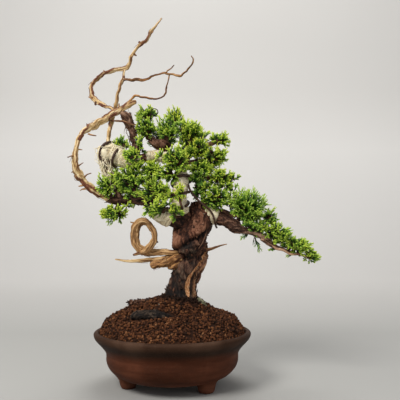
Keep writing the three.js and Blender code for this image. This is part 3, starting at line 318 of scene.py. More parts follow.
FRONT_ROOT = [
    [-40, 68, -37, 2.2], [-32, 69.4, -38.6, 3.8], [-22, 69.4, -40, 4.6],
    [-12, 68.4, -40, 4], [-2, 66.4, -38.6, 2.4],
]
# How much lower and thicker than its solid the front root is drawn
FRONT_ROOT_DROP = 2.4
FRONT_ROOT_GROWTH = 1.1
LEFT_ROOT = [[-20, 81, 0, 3], [-30, 80.6, -2, 2.8], [-38, 80.2, -3, 2.2], [-44, 79.4, -4, 1]]

# Raffia is wound over these stretches, given as first and last station of the limb
RAFFIA_STRETCHES = {
    "raffia_arch": [[LEADER, 1, 5]],
    "raffia_middle": [[LEADER, 8, 10]],
    "raffia_lower_left": [[LOWER_LEFT, 2, 4]],
    "raffia_cascade": [[CASCADE, 1, 2]],
    "raffia_elbow": [[LEADER, 11, 14], [ELBOW_DOWN, 0, 4]],
}
RAFFIA_THICKNESS = 2
# At the torn elbow the wrap thins out from its first station to its third
ELBOW_THICKNESS = ([0, 2], [3.4, 1.2])
RAFFIA_STRIP_WIDTH = 4.2
# Loose fibres: how many on each stretch, and how far they stand away
TORN_FIBRES = (90, 3.2)
ELBOW_FIBRES = (70, 3.0)
OTHER_FIBRES = (12, 1.8)

WIRE_RADIUS = 1.4
# The arch wire is wound round this share of the leader, from this angle on
ARCH_WIRE_SHARE = [0.13, 0.34]
ARCH_WIRE_TURNS = 2.3
ARCH_WIRE_START = 0.4
WIRE_CLEARANCE = 2.6
LINK_WIRE_RADIUS = 1.05
ELBOW_WIRE = [
    [-53, 231.6, -2], [-54.4, 233.6, -8.6], [-56.4, 231.8, -15.4], [-59.2, 227.6, -18.8],
    [-61, 222.4, -18.4], [-61, 218, -15.4], [-58.6, 215, -10],
    [-57, 215.6, -3], [-58, 222, 1.6], [-59.4, 230.6, 2.2],
    [-60.4, 237, -1.4], [-61.4, 239.4, -8], [-64.4, 239.8, -14], [-68.6, 238.4, -16.4], [-71.8, 235, -16.8],
    [-73.4, 230.6, -16.2], [-73.8, 226.4, -15.4], [-73, 222.4, -14.6],
]
LINK_WIRE = [
    [15, 197, -19], [17.4, 191, -18], [21, 186, -15.5], [25.6, 181, -14.5], [30.6, 176.6, -14],
    [35.6, 172.6, -13.5], [39.4, 167.4, -13.4], [41.4, 161.4, -13], [42.6, 156.4, -9.6], [43.6, 154, -3],
]

# Foliage: how yellow and bright (above 0) or dark (below 0) a tuft is, where it is not 0. The dark tones of
# the tufts at the back, inside the crown and under the cascade are painted shade, and the bright tones of the
# tufts on the right are partly painted light
TUFT_TONES_AND_PAINTED_LIGHT = {
    "crown_tip_middle": 0.6, "crown_front_high": 0.25, "front_shoot": 0.6, "left_inner": 0.2,
    "front_low": 0.15, "cascade_first": -0.45, "cascade_second": -0.1, "left_drooping": 0.2,
    "inner_right": -0.9, "right_lower": 0.1, "crown_left": -0.1, "crown_back_left": -0.3,
    "cascade_shoulder": -0.35, "cascade_tip": 0.1, "crown_middle": -0.2, "crown_right": 0.6,
    "crown_right_low": 0.5, "right_high": 0.55, "right_rising": 0.4, "right_low": 0.5, "right_middle": 0.5,
    "crown_back_right": -0.3, "crown_back_low": -0.3, "left_back": -0.3, "cascade_first_back": -0.3,
    "under_spray_1": -0.7, "under_spray_2": -0.5, "under_spray_3": -0.6, "under_spray_4": -0.4,
}
# How much lower than its solid a tuft is drawn
TUFT_DROPS = {"cascade_second": 1.6, "cascade_third": 2.2, "cascade_tip": 0.8, "right_rising": 1.2}
# Small single sprays under the cascade, as places from root to tip
UNDER_SPRAYS = {
    "under_spray_1": [[76, 149, -9], [73, 146, -10], [67.6, 143, -11]],
    "under_spray_2": [[81, 148, -9], [83, 140, -10], [86, 130.6, -11]],
    "under_spray_3": [[105, 134.4, -7], [101, 133.4, -8], [94.6, 131.4, -9]],
    "under_spray_4": [[122, 129, -5], [118, 126.6, -6], [113, 125.6, -7]],
}
CORD_RADIUS = 0.62
WOODY_RADIUS = 0.75
UNDER_SPRAY_RADIUS = 0.44
MOSS_RADIUS = 0.32
CORD_SIDES = 3
# The rings of a cord by its length: from, to, rings; and the share of it where its tip begins
CORD_RINGS = ((0, 4.2, 3), (4.2, 7.5, 4), (7.5, np.inf, 6))
CORD_TIP_START = 0.86
SIDE_TWIGS = 5
# Side cords: where the last one may start, how far they lean (in radians) and how long they are
LAST_SIDE_TWIG = 0.86
SIDE_LEAN = (0.36, 0.62)
SIDE_LENGTH = (3.6, 9.5)
FORK_LENGTH = (2.0, 5)
# How far out the sprays of a tuft reach, as shares of its solid, and how many more lie inside it
OUTER_REACH = (0.78, 1.02)
INNER_REACH = (0.4, 0.78)
INNER_TIP_SHARE = 0.62
# Sprays lean away from here
TREE_MIDDLE = np.array([12.0, 0.0, 196.0])
WOODY_TWIGS = 16
# Sprays that close the gaps round a tuft: [x, z, depth, reach]
FILL_SPRAYS = {
    "left_outer": [[-57, 194, -8, 8], [-58, 208, -9, 7]],
    "left_middle": [
        [-40, 189, -14, 9], [-29, 203, -14, 8], [-50, 206, -12, 9], [-38, 209, -13, 9],
        [-47, 213, -15, 6], [-39, 215, -15, 6],
    ],
    "left_inner_high": [[-34, 217, -14, 8], [-25, 212, -13, 8]],
    "left_inner": [[-9, 194, -20, 9], [-12, 207, -15, 8], [-24, 199, 2, 10], [-14, 187, 1, 9]],
    "left_drooping": [[-67, 172, -10, 6], [-46, 178, -12, 6], [-53, 173, -13, 7]],
    "left_back": [[-46, 204, 8, 11], [-37, 190, 8, 10], [-58, 194, 6, 9]],
    "front_low": [
        [3, 171, -27, 8], [-13, 182, -21, 8], [-4, 186, -21, 6], [-21, 178, -27, 9],
        [-4, 179, -24, 6], [-17, 173, -18, 7],
    ],
    "inner_right": [[27, 209, -10, 9], [20, 203, -12, 7], [27, 190, -8, 7], [30, 198, 3, 9]],
    "right_low": [[38, 231, -10, 7], [62, 205, -8, 6]],
    "right_lower": [[44, 190, 3, 9]],
    "right_middle": [[52, 198, -10, 7], [34, 186, -9, 7], [36, 197, -10, 7], [43, 207, 6, 9]],
    "right_rising": [[30, 214, 5, 9]],
    "cascade_first": [
        [59, 186, -8, 8], [75, 157, -14, 7], [90, 157, -13, 7], [84, 168, -16, 8],
        [83, 154, -13, 7], [56, 179, -9, 8], [61, 194, -9, 7],
    ],
    "cascade_second": [
        [117, 144, -9, 7], [96, 156, -9, 7], [103, 157, -12, 7], [112, 150, -11, 7],
        [88, 157, -10, 6], [96, 152, -9, 6],
    ],
    "cascade_third": [
        [132, 136, -7, 6], [113, 139, -8, 6], [126, 142, -9, 6], [107, 144, -8, 6], [119, 143, -8, 6],
    ],
    "cascade_tip": [[136, 132, -7, 5]],
    "crown_front_low": [[10, 214, -16, 8]],
    "crown_front_high": [[-11, 229, -28, 7]],
    "crown_middle": [[9, 257, -8, 9]],
    "crown_right": [[31, 248, -6, 8]],
    "crown_tip_left": [[-30, 268, 0, 7]],
}
# Places that no tip of a spray hides: [x, z, reach], seen from the front
OPEN_SPOTS = [
    [-49, 262, 6], [-45, 254, 5.5], [-42, 246, 5], [-40, 238, 4.5], [-24, 253, 4], [-28, 243, 4],
    [-73, 175, 4], [-64, 161, 3], [-14, 239, 6], [-20, 241, 4], [-24, 233, 4.5], [-8, 234, 4],
    [16, 243, 3.5], [37, 225, 3.5], [50, 171, 3.5],
]

# The floor runs from front to back, and then bends up
FLOOR_FRONT_Y = -2600
FLOOR_BACK_Y = 900
FLOOR_BEND = 700
FLOOR_BEND_STEPS = 25
FLOOR_HALF_WIDTH = 4500
FLOOR_TOP_Z = 3800

# Lights, in metres: name, place, what it points at, size, power and colour
OBJECT_MIDDLE = (0, 0, 0.18)
LIGHTS = [
    ("key", (-0.62, -0.88, 1.07), OBJECT_MIDDLE, 0.6, 17, (1.0, 0.985, 0.955)),
    ("fill", (1.1, -0.9, 0.5), OBJECT_MIDDLE, 1.2, 2.9, (0.95, 0.97, 1.0)),
    ("top", (0.1, 0.35, 1.3), OBJECT_MIDDLE, 0.8, 5, (1.0, 1.0, 1.0)),
    ("backdrop", (0, 0.75, 2.2), (0, 1.6, 0.9), 1.4, 13, (1.0, 0.995, 0.975)),
]
SKY_COLOUR = (0.97, 0.98, 1.0, 1)
SKY_STRENGTH = 0.42


# Numbers that repeat on every run
def lattice(cells, seed):
    """A number from 0 to 1 for each whole-numbered cell"""
    value = (cells[..., 0] * 0x9E3779B1) ^ (cells[..., 1] * 0x85EBCA6B) ^ (cells[..., 2] * 0xC2B2AE35)
    value = (value + seed * 0x27D4EB2F) & 0xFFFFFFFF
    value = ((value ^ (value >> 15)) * 0x2C1B3C6D) & 0xFFFFFFFF
    value = ((value ^ (value >> 12)) * 0x297A2D39) & 0xFFFFFFFF
    return (value ^ (value >> 15)) / 0xFFFFFFFF


def smooth_noise(points, seed):
    """Noise from 0 to 1 that changes over about one unit"""
    cells = np.floor(points).astype(np.int64)
    part = points - cells
    part = part * part * (3 - 2 * part)
    total = 0
    for corner in range(8):
        step = np.array([corner & 1, corner >> 1 & 1, corner >> 2 & 1])
        weight = np.prod(np.where(step, part, 1 - part), axis=-1)
        total = total + weight * lattice(cells + step, seed)
    return total


def layered_noise(points, seed, layers):
    """Noise from 0 to 1; each layer is twice as fine and half as strong as the one before"""
    total = 0
    for layer in range(layers):
        total = total + smooth_noise(points * 2**layer, seed + layer) / 2**layer
    return total / (2 - 0.5 ** (layers - 1))


def swing(points, seed, layers):
    """Layered noise from -0.5 to 0.5"""
    return layered_noise(points, seed, layers) - 0.5


def unit(vectors):
    return vectors / np.maximum(np.linalg.norm(vectors, axis=-1, keepdims=True), 1e-9)


def smoothstep(low, high, value):
    share = np.clip((value - low) / (high - low), 0, 1)
    return share * share * (3 - 2 * share)


# Rings of points, and the faces between them
def ring_angles(sides):
    return np.arange(sides) / sides * 2 * np.pi


def around(radius, angle, height):
    return np.stack(np.broadcast_arrays(radius * np.cos(angle), radius * np.sin(angle), height), axis=-1)


def ring_quads(rings, sides):
    low = np.arange((rings - 1) * sides).reshape(rings - 1, sides)
    low_next = np.roll(low, -1, axis=1)
    return np.stack([low, low_next, low_next + sides, low + sides], axis=-1)


def fan(pole, ring):
    return np.stack([np.full(len(ring), pole), ring, np.roll(ring, -1)], axis=-1)


def repeated(faces, count, step):
    """The same faces for count alike parts of step points each"""
    return faces[None] + np.arange(count)[:, None, None] * step


# Shapes: vertices, faces and values on the vertices, gathered part by part
class Shape:
    def __init__(self):
        self.points = []
        self.faces = []
        self.values = {}
        self.count = 0

    def add(self, points, faces, **values):
        """faces is a list of whole-number arrays, each with one row for a face"""
        points = points.reshape(-1, 3)
        self.points.append(points)
        self.faces += [rows.reshape(-1, rows.shape[-1]) + self.count for rows in faces]
        for name, value in values.items():
            self.values.setdefault(name, []).append(value)
        self.count += len(points)


def new_object(name, data):
    thing = bpy.data.objects.new(name, data)
    bpy.context.scene.collection.objects.link(thing)
    return thing


def make_piece(name, shape, material, nodes=(), smooth=True):
    """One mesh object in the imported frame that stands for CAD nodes"""
    points = (np.concatenate(shape.points) - [TREE_CENTRE_X, 0, 0]) * MM
    corners = np.concatenate([rows.ravel() for rows in shape.faces])
    sizes = np.concatenate([np.full(len(rows), rows.shape[1]) for rows in shape.faces])
    mesh = bpy.data.meshes.new(name)
    mesh.vertices.add(len(points))
    mesh.vertices.foreach_set("co", points.astype(np.float32).ravel())
    mesh.loops.add(len(corners))
    mesh.loops.foreach_set("vertex_index", corners.astype(np.int32))
    mesh.polygons.add(len(sizes))
    mesh.polygons.foreach_set("loop_start", np.concatenate([[0], np.cumsum(sizes)[:-1]]).astype(np.int32))
    mesh.update(calc_edges=True)
    for key, parts in shape.values.items():
        kind, field, width = ("FLOAT_VECTOR", "vector", 3) if key == "grain" else ("FLOAT", "value", 1)
        values = np.concatenate([part.reshape(-1, width) for part in parts])
        mesh.attributes.new(key, kind, "POINT").data.foreach_set(field, values.astype(np.float32).ravel())
    mesh.polygons.foreach_set("use_smooth", np.full(len(sizes), smooth))
    mesh.materials.append(material)
    piece = new_object(name, mesh)
    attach(piece, "root")
    if nodes:
        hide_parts(*nodes)


def make_fine_piece(name, shape, material, smooth=True):
    """A piece that stands for the CAD node of its name"""
    make_piece("fine_" + name, shape, material, [name], smooth)


# Courses: centre lines of limbs, with radii and a frame that doesn't twist
def curve_through(points, samples):
    """A centripetal curve through points, at samples counted in points; also for the radii"""
    padded = np.vstack([2 * points[0] - points[1], points, 2 * points[-1] - points[-2]])
    first = np.minimum(samples.astype(int), len(points) - 2)
    share = (samples - first)[:, None]
    p0, p1, p2, p3 = (padded[first + step] for step in range(4))
    d0, d1, d2 = (
        np.sqrt(np.linalg.norm((b - a)[:, :3], axis=1))[:, None] + 1e-9
        for a, b in ((p0, p1), (p1, p2), (p2, p3))
    )
    t1 = ((p1 - p0) / d0 - (p2 - p0) / (d0 + d1) + (p2 - p1) / d1) * d1
    t2 = ((p2 - p1) / d1 - (p3 - p1) / (d1 + d2) + (p3 - p2) / d2) * d1
    cubic = 2 * (p1 - p2) + t1 + t2
    square = 3 * (p2 - p1) - 2 * t1 - t2
    return ((cubic * share + square) * share + t1) * share + p1


def real_places(stations):
    """Points in space, with the radius last (1 where none is given), for places on the tree"""
    x, z, depth, radius = np.array([[*station, 1][:4] for station in stations], float).T
    scale = 1 - depth / EYE[1]
    return np.column_stack([
        EYE[0] + (x - EYE[0]) * scale, depth, EYE[2] + (z - EYE[2]) * scale, radius * scale,
    ])


def seen_from_front(points):
    """Where points are seen in the upright plane through the pot's centre"""
    scale = 1 - points[..., 1] / EYE[1]
    return EYE[0] + (points[..., 0] - EYE[0]) / scale, EYE[2] + (points[..., 2] - EYE[2]) / scale


class Course:
    """A centre line with rings about every spacing; kink bends it, and slim scales its radius"""
    def __init__(self, places, spacing, kink=0.0, slim=1.0):
        last = len(places) - 1
        rough = np.linspace(0, last, 16 * last + 1)
        steps = np.linalg.norm(np.diff(curve_through(places, rough)[:, :3], axis=0), axis=1)
        lengths = np.concatenate([[0], np.cumsum(steps)])
        count = max(4, math.ceil(lengths[-1] / spacing))
        self.along = np.linspace(0, lengths[-1], count + 1)
        fine = curve_through(places, np.interp(self.along, lengths, rough))
        self.centre = fine[:, :3]
        if kink:
            shifts = [swing(self.centre * 0.19 + 11 * axis, 61 + axis, 2) for axis in range(3)]
            self.centre = self.centre + np.stack(shifts, axis=-1) * 2 * kink
        self.radius = np.maximum(fine[:, 3] * slim, LEAST_RADIUS)
        self.reach = self.radius[:, None]
        self.tangent = unit(np.gradient(self.centre, axis=0))
        side = np.array([0.13, -1, 0.07])
        sides = []
        for tangent in self.tangent:
            side = unit(side - tangent * side.dot(tangent))
            sides.append(side)
        self.side = np.array(sides)
        self.across = np.cross(self.tangent, self.side)


def limb(stations, spacing=SPACING, kink=0.0, slim=1.0):
    return Course(real_places(stations), spacing, kink, slim)


def tube(shape, course, sides, relief=None, root_dome=0.45, tip_dome=0.7, **values):
    """A closed limb round a course; relief gives extra reach for the straightened coordinates"""
    angle = ring_angles(sides)
    out = np.cos(angle)[:, None] * course.side[:, None] + np.sin(angle)[:, None] * course.across[:, None]
    radius = course.radius[:, None]
    grain = around(radius, angle, course.along[:, None])
    reach = np.broadcast_to(radius, grain.shape[:2])
    extra = {}
    if relief:
        raised, extra = relief(course, angle, grain, out)
        reach = np.maximum(reach + raised, LEAST_REACH_SHARE * reach)
    course.reach = reach
    points = course.centre[:, None] + out * reach[..., None]
    rings, grains = [points], [grain]
    poles = []
    for end, dome in ((0, -root_dome), (-1, tip_dome)):
        for share in CAP_SHARES:
            shrink = math.sqrt(1 - share * share)
            ring = course.centre[end] + (points[end] - course.centre[end]) * shrink
            ring = ring + course.tangent[end] * dome * course.radius[end] * share
            at = len(rings) if end else 0
            rings.insert(at, ring[None])
            grains.insert(at, (grain[end] * [shrink, shrink, 1])[None])
        poles.append(course.centre[end] + course.tangent[end] * dome * course.radius[end])
    body = np.concatenate(rings).reshape(-1, 3)
    pole_grain = np.array([[0, 0, course.along[0]], [0, 0, course.along[-1]]])
    all_values = {"grain": np.concatenate([np.concatenate(grains).reshape(-1, 3), pole_grain])}
    for key, value in {**values, **extra}.items():
        grid = np.broadcast_to(np.asarray(value, float), grain.shape[:2])
        padded = np.concatenate([grid[:1], grid[:1], grid, grid[-1:], grid[-1:]])
        all_values[key] = np.concatenate([padded.ravel(), [grid[0, 0], grid[-1, 0]]])
    ring = np.arange(sides)
    root_fan = fan(len(body), ring)[:, [0, 2, 1]]
    tip_fan = fan(len(body) + 1, ring + len(body) - sides)
    quads = ring_quads(len(body) // sides, sides)
    shape.add(np.concatenate([body, poles]), [quads, root_fan, tip_fan], **all_values)


# Reliefs: how far the surface stands proud of a limb, and values that its material reads
def stops_along(course, stops):
    """One value for each ring of a limb, from a number or a list of evenly spaced stops"""
    stops = np.atleast_1d(stops)
    return np.interp(course.along / course.along[-1], np.linspace(0, 1, len(stops)), stops)[:, None]


def bark_values(height, warm, pale=0.0):
    return {"height": height, "warm": warm, "bare": 0.0, "pale": pale}


def bark_plates(grain, seed, stretch, size):
    """Terraces with sharp edges, and the cracks that cross them; both from 0 to 1"""
    spread = grain * [1, 1, stretch] / size
    wander = [swing(spread * 0.8 + 7 * axis, seed + 50 + axis, 2) for axis in range(3)]
    value = layered_noise(spread + np.stack(wander, axis=-1) * 1.8, seed, 3)
    steps = value * PLATE_TERRACES
    terraces = (np.floor(steps) + smoothstep(0, 0.25, steps - np.floor(steps))) / PLATE_TERRACES
    cracks = 1 - smoothstep(0.015, 0.08, np.abs(value - 0.52))
    return terraces, cracks


def bark_relief(flake, lump, seed, warm=0.5, pale=0.0, stretch=0.3, size=6.0, twist=0.03):
    """Rough scaly bark, with dark cracks between its plates"""
    def relief(course, angle, grain, out):
        grain = around(course.radius[:, None], angle + twist * course.along[:, None], grain[..., 2])
        terraces, cracks = bark_plates(grain, seed, stretch, size)
        fibres = swing(grain * [0.9, 0.9, 0.2], seed + 9, 3)
        raised = ((terraces - 0.5) * 8 - cracks + fibres * 1.2) * flake
        raised = raised + swing(grain * 0.075, seed + 21, 2) * lump
        height = np.clip(0.5 + (terraces - 0.5) * 1.1 - cracks * 0.3 + fibres * 0.9, 0.2, 0.7)
        return raised, bark_values(height, warm, stops_along(course, pale))
    return relief


def strip_offset(points):
    """How far right of the bare strip's middle points are seen, counted in half widths"""
    seen_x, seen_z = seen_from_front(points)
    strip_x, strip_z = np.array(BARE_STRIP[::-1], float).T
    middle = np.interp(seen_z, strip_z, strip_x)
    width = np.interp(seen_z, *np.array(BARE_STRIP_WIDTH, float).T)
    return (seen_x - middle + (smooth_noise(points * 0.25, 77) - 0.5) * 0.8) / width


def off_the_strip(points, out):
    return (out[:, 1] > 0) | (np.abs(strip_offset(points)) > STRIP_CLEARANCE)


def bump_at(value, width):
    """1 where value is 0, and falling off to both sides over width"""
    return np.exp(-((value / width) ** 2))


def trunk_relief(course, angle, grain, out):
    """The trunk: black and scaly below, with a bare strip in a groove, and a reddish knob above"""
    raised, values = bark_relief(0.85, 5.0, 3, stretch=0.5, size=8.5)(course, angle, grain, out)
    points = course.centre[:, None] + out * course.radius[:, None, None]
    seen_x, seen_z = seen_from_front(points)
    facing = smoothstep(0.25, -0.05, out[..., 1]) * smoothstep(*STRIP_TOP_Z, seen_z)
    inside = facing * smoothstep(0, -0.35, out[..., 1])
    offset = strip_offset(points)
    bare = smoothstep(1.15, 0.9, np.abs(offset)) * facing
    lips = bump_at(np.abs(offset) - 1.7, 0.5) * inside
    strand = bump_at(offset - 3.4, 0.8) * inside
    raised = raised * (1 - 0.9 * bare) - 1.5 * bare + 1.2 * lips + 1.4 * strand
    above = seen_z - (CREASE_Z + CREASE_SLOPE * (seen_x - CREASE_X))
    left_part = smoothstep(*CREASE_LEFT_X, seen_x) * smoothstep(0.4, -0.2, out[..., 1])
    crease = bump_at(above, 2.4) * left_part
    raised = raised - 3.2 * crease + 1.6 * (bump_at(above - 6, 4) * left_part)
    right_side = 0.5 * smoothstep(*WARM_RIGHT_X, seen_x) * (above < 0)
    warm = smoothstep(-2, 5, above) * 1.15 + 0.16 + right_side
    foot = smoothstep(*DARK_FOOT_Z, seen_z) * smoothstep(*DARK_FOOT_X, seen_x)
    # Painted shade: the crease under the knob is darkened as well as cut in
    values["height"] = values["height"] - 0.35 * crease - 0.16 * foot
    values["bare"] = np.maximum(bare, 0.4 * strand)
    values["warm"] = np.clip(warm + strand, 0, 1.3)
    values["pale"] = 0.7 * strand + 0.3 * lips - 0.2
    return raised, values


def grain_relief(depth, twist, seed, brown, cover=0.54, bands=0.0):
    """Twisted ridges of dry wood, with patches (cover) and winding strips (bands) of old bark on it"""
    def relief(course, angle, grain, out):
        turn = angle + twist * course.along[:, None] / 10
        along = grain[..., 2]
        radius = course.radius[:, None]
        folded = around(radius, turn, along * 0.09)
        ridges = swing(folded * 0.75, seed, 3)
        fine = swing(folded * 3.0, seed + 5, 2)
        patches = layered_noise(around(0.9, turn, along * 0.04) + seed * 3.7, seed + 11, 3)
        old_bark = smoothstep(cover, cover + 0.04, patches)
        swell = swing(grain * [0, 0, 0.13] + seed, seed + 17, 2) * 0.5 * radius
        if bands:
            wander = layered_noise(grain * [0, 0, 0.05] + seed * 1.3, seed + 23, 2) * 5
            wound = np.cos(angle + 0.13 * along + wander) + swing(folded * 0.9, seed + 29, 2) * 0.7
            broken = smoothstep(0.36, 0.42, layered_noise(grain * [0, 0, 0.07] + seed, seed + 31, 2))
            old_bark = np.maximum(old_bark, smoothstep(1 - bands, 1.04 - bands, wound) * broken)
        raised = depth * radius * np.cos(2 * turn) + ridges * 0.85 * radius + fine * 0.2 * radius
        raised = raised + swell + old_bark * (0.12 * radius + 0.25)
        height = 0.5 + ridges * 0.9 + fine * 0.6
        return raised, {"height": height, "old_bark": old_bark, "brown": stops_along(course, brown)}
    return relief


def raffia_relief(seed, rough, torn):
    """Flat strips wound round and round, each lying half over the one before, and torn to slits"""
    def relief(course, angle, grain, out):
        along = grain[..., 2]
        turns = along / RAFFIA_STRIP_WIDTH + angle / (2 * np.pi) + layered_noise(grain * 0.12, seed, 2) * 1.1
        part = turns - np.floor(turns)
        # edge is low at the step where a strip lies over the one before, and in the torn slits; the material
        # paints shade where it is low
        edge = smoothstep(0, 0.12, part) * (1 - part * 0.75)
        fibre_places = grain * [0.12, 0.12, 1.5]
        fibre_places[..., 2] -= course.radius[:, None] * angle * 0.15
        fibres = layered_noise(fibre_places, seed + 7, 3)
        raised = (edge - 0.5) * 0.9 + (fibres - 0.5) * 0.7 + swing(grain * 0.14, seed + 15, 2) * 1.8
        raised = raised * rough
        if torn:
            slits = layered_noise(grain * [0.34, 0.34, 0.05] + 7.7, seed + 21, 2)
            slits = smoothstep(0.53, 0.58, slits) * smoothstep(9, 15, along)
            raised = raised - 1.5 * slits
            edge = edge - 0.72 * slits
        return raised, {"height": fibres, "edge": edge}
    return relief


# Loose fibres and scales that stand away from a limb
def add_strands(shape, course, rng, count, length, lift, radius, **values):
    spacing = course.along[1] - course.along[0]
    last = len(course.along) - 1
    sides = course.reach.shape[1]
    for start in rng.integers(0, last + 1, count):
        angle, turn = rng.uniform(0, 2 * np.pi), rng.normal(0, 0.9)
        way = rng.choice([-1, 1])
        run = length * rng.uniform(0.5, 1.3)
        rise = lift * rng.uniform(0.3, 1.4)
        places = []
        for share in np.linspace(0, 1, 6):
            ring = int(np.clip(start + way * share * run / spacing, 0, last))
            at = angle + turn * share
            out = math.cos(at) * course.side[ring] + math.sin(at) * course.across[ring]
            reach = course.reach[ring, int(at / (2 * math.pi) * sides) % sides] - 0.1 + rise * share**1.6
            places.append([*(course.centre[ring] + out * reach), radius * (1 - 0.6 * share)])
        tube(shape, Course(np.array(places), 1.2), 4, **values)


def add_flakes(shape, course, rng, count, length, lift, thick=0.35, keep=None, **values):
    """Small curved scales, fixed at one end, that point along the limb"""
    outline = np.array(FLAKE_OUTLINE)
    corners = len(outline)
    pick = rng.integers(0, len(course.along), count)
    angle = rng.uniform(0, 2 * np.pi, count)[:, None]
    out = np.cos(angle) * course.side[pick] + np.sin(angle) * course.across[pick]
    if keep:
        kept = keep(course.centre[pick] + out * course.radius[pick][:, None], out)
        pick, angle, out = pick[kept], angle[kept], out[kept]
        count = len(pick)
    round_about = np.cross(course.tangent[pick], out)
    lean = rng.normal(0, 0.5, count)[:, None]
    way = rng.choice([-1.0, 1.0], count)[:, None]
    ahead = unit(course.tangent[pick] * way + round_about * lean)
    across = np.cross(out, ahead)
    size = length * rng.uniform(0.5, 1.3, (count, 1, 1))
    rise = lift * rng.uniform(0.2, 1.3, (count, 1, 1))
    side = (angle[:, 0] / (2 * np.pi) * course.reach.shape[1]).astype(int)
    base = course.centre[pick] + out * (course.reach[pick, side][:, None] - 0.5)
    flat = base[:, None] + ahead[:, None] * outline[:, :1] * size
    flat = flat + across[:, None] * outline[:, 1:] * size * 0.45
    flat = flat + out[:, None] * rise * outline[:, :1] ** 1.5
    points = np.concatenate([flat, flat + out[:, None] * thick], axis=1)
    ring = np.arange(corners)[None]
    faces = [ring_quads(2, corners)[0], ring[:, ::-1], ring + corners]
    grain = np.repeat(np.column_stack([angle * 5, angle, course.along[pick]])[:, None], 2 * corners, axis=1)
    grain = grain + np.concatenate([outline, outline])[:, [0, 1, 1]] * 3
    shape.add(points, [repeated(rows, count, 2 * corners) for rows in faces], grain=grain,
              **{key: np.full(points.shape[:2], float(value)) for key, value in values.items()})


# Materials
class Look:
    """A material, with short ways to add nodes to it"""
    def __init__(self, name, roughness, specular, metallic=0.0):
        self.material = bpy.data.materials.new(name)
        self.material.use_nodes = True
        self.tree = self.material.node_tree
        self.surface = self.tree.nodes["Principled BSDF"].inputs
        self.surface["Roughness"].default_value = roughness
        self.surface["Specular IOR Level"].default_value = specular
        self.surface["Metallic"].default_value = metallic

    def put(self, socket, value):
        """A link where value is another node's output, and else the value itself"""
        if isinstance(value, bpy.types.NodeSocket):
            self.tree.links.new(value, socket)
        else:
            socket.default_value = value

    def node(self, kind, output, sockets, **settings):
        node = self.tree.nodes.new("ShaderNode" + kind)
        for name, value in settings.items():
            setattr(node, name, value)
        for key, value in sockets.items():
            self.put(node.inputs[key], value)
        return node.outputs[output]

    def value(self, name, output="Fac"):
        return self.node("Attribute", output, {}, attribute_name=name)

    def place(self):
        return self.node("TexCoord", "Object", {})

    def along(self, vector, axis):
        return self.node("SeparateXYZ", axis, {"Vector": vector})

    def scaled(self, vector, scale):
        return self.node("Mapping", "Vector", {"Vector": vector, "Scale": scale})

    def noise(self, vector, scale, detail, roughness=0.6, distortion=0.0):
        sockets = {"Scale": scale, "Detail": detail, "Roughness": roughness, "Distortion": distortion}
        return self.node("TexNoise", "Fac", {"Vector": vector, **sockets})

    def ramp(self, value, *stops):
        """stops: (place, red, green, blue) in linear light"""
        output = self.node("ValToRGB", "Color", {"Fac": value})
        band = output.node.color_ramp.elements
        while len(band) < len(stops):
            band.new(0.5)
        for element, (place, *colour) in zip(band, stops):
            element.position = place
            element.color = (*colour, 1)
        return output

    def sum(self, value, factor, more=0.0, clamp=False):
        """value times factor, plus more"""
        return self.node("Math", "Value", {0: value, 1: factor, 2: more},
                         operation="MULTIPLY_ADD", use_clamp=clamp)

    def with_height(self, fine, part):
        """A fine texture mixed with the height that the relief gives"""
        return self.sum(fine, part, self.sum(self.value("height"), 1 - part))

    def share(self, value, factor, more=0.0):
        """value times factor, plus more, kept from 0 to 1"""
        return self.sum(value, factor, more, True)

    def mix(self, share, first, second, blend="MIX"):
        return self.node("Mix", 2, {0: share, 6: first, 7: second}, data_type="RGBA", blend_type=blend)

    def tinted(self, colour, *tint):
        return self.mix(1.0, colour, (*tint, 1), "MULTIPLY")

    def finished(self, colour, relief=None, depth_mm=0.0):
        self.put(self.surface["Base Color"], colour)
        if relief:
            sockets = {"Strength": 1.0, "Distance": depth_mm * MM, "Height": relief}
            self.put(self.surface["Normal"], self.node("Bump", "Normal", sockets))
        return self.material


def bark_material():
    look = Look("bark", 0.78, 0.2)
    grain = look.value("grain", "Vector")
    pale = look.value("pale")
    fine = look.noise(look.scaled(grain, (1, 1, 0.3)), 0.9, 6, 0.65, 0.6)
    relief = look.with_height(fine, 0.5)
    black = look.ramp(
        relief, (0.34, 0.004, 0.003, 0.003), (0.49, 0.016, 0.011, 0.008), (0.6, 0.056, 0.037, 0.025),
        (0.74, 0.19, 0.14, 0.095),
    )
    red = look.ramp(
        relief, (0.34, 0.011, 0.005, 0.004), (0.46, 0.064, 0.023, 0.013), (0.57, 0.185, 0.074, 0.04),
        (0.72, 0.4, 0.21, 0.13),
    )
    tan = look.ramp(
        relief, (0.34, 0.03, 0.014, 0.009), (0.48, 0.12, 0.06, 0.038), (0.62, 0.33, 0.2, 0.13),
        (0.76, 0.52, 0.38, 0.26),
    )
    blotch = look.sum(look.noise(grain, 0.1, 3, 0.6, 0.3), 1.6, -0.8)
    colour = look.mix(look.share(blotch, 1.0, look.value("warm")), black, red)
    colour = look.mix(look.share(blotch, 0.6, pale), colour, tan)
    colour = look.mix(look.share(pale, 0.7, -0.7), colour, look.tinted(tan, 2.0, 2.0, 1.9))
    wood = look.ramp(
        look.noise(look.scaled(grain, (1, 1, 0.1)), 2.2, 4, 0.65), (0.36, 0.13, 0.035, 0.012),
        (0.43, 0.54, 0.2, 0.065), (0.51, 0.82, 0.41, 0.18), (0.62, 0.93, 0.64, 0.38),
    )
    return look.finished(look.mix(look.value("bare"), colour, wood), fine, 0.7)


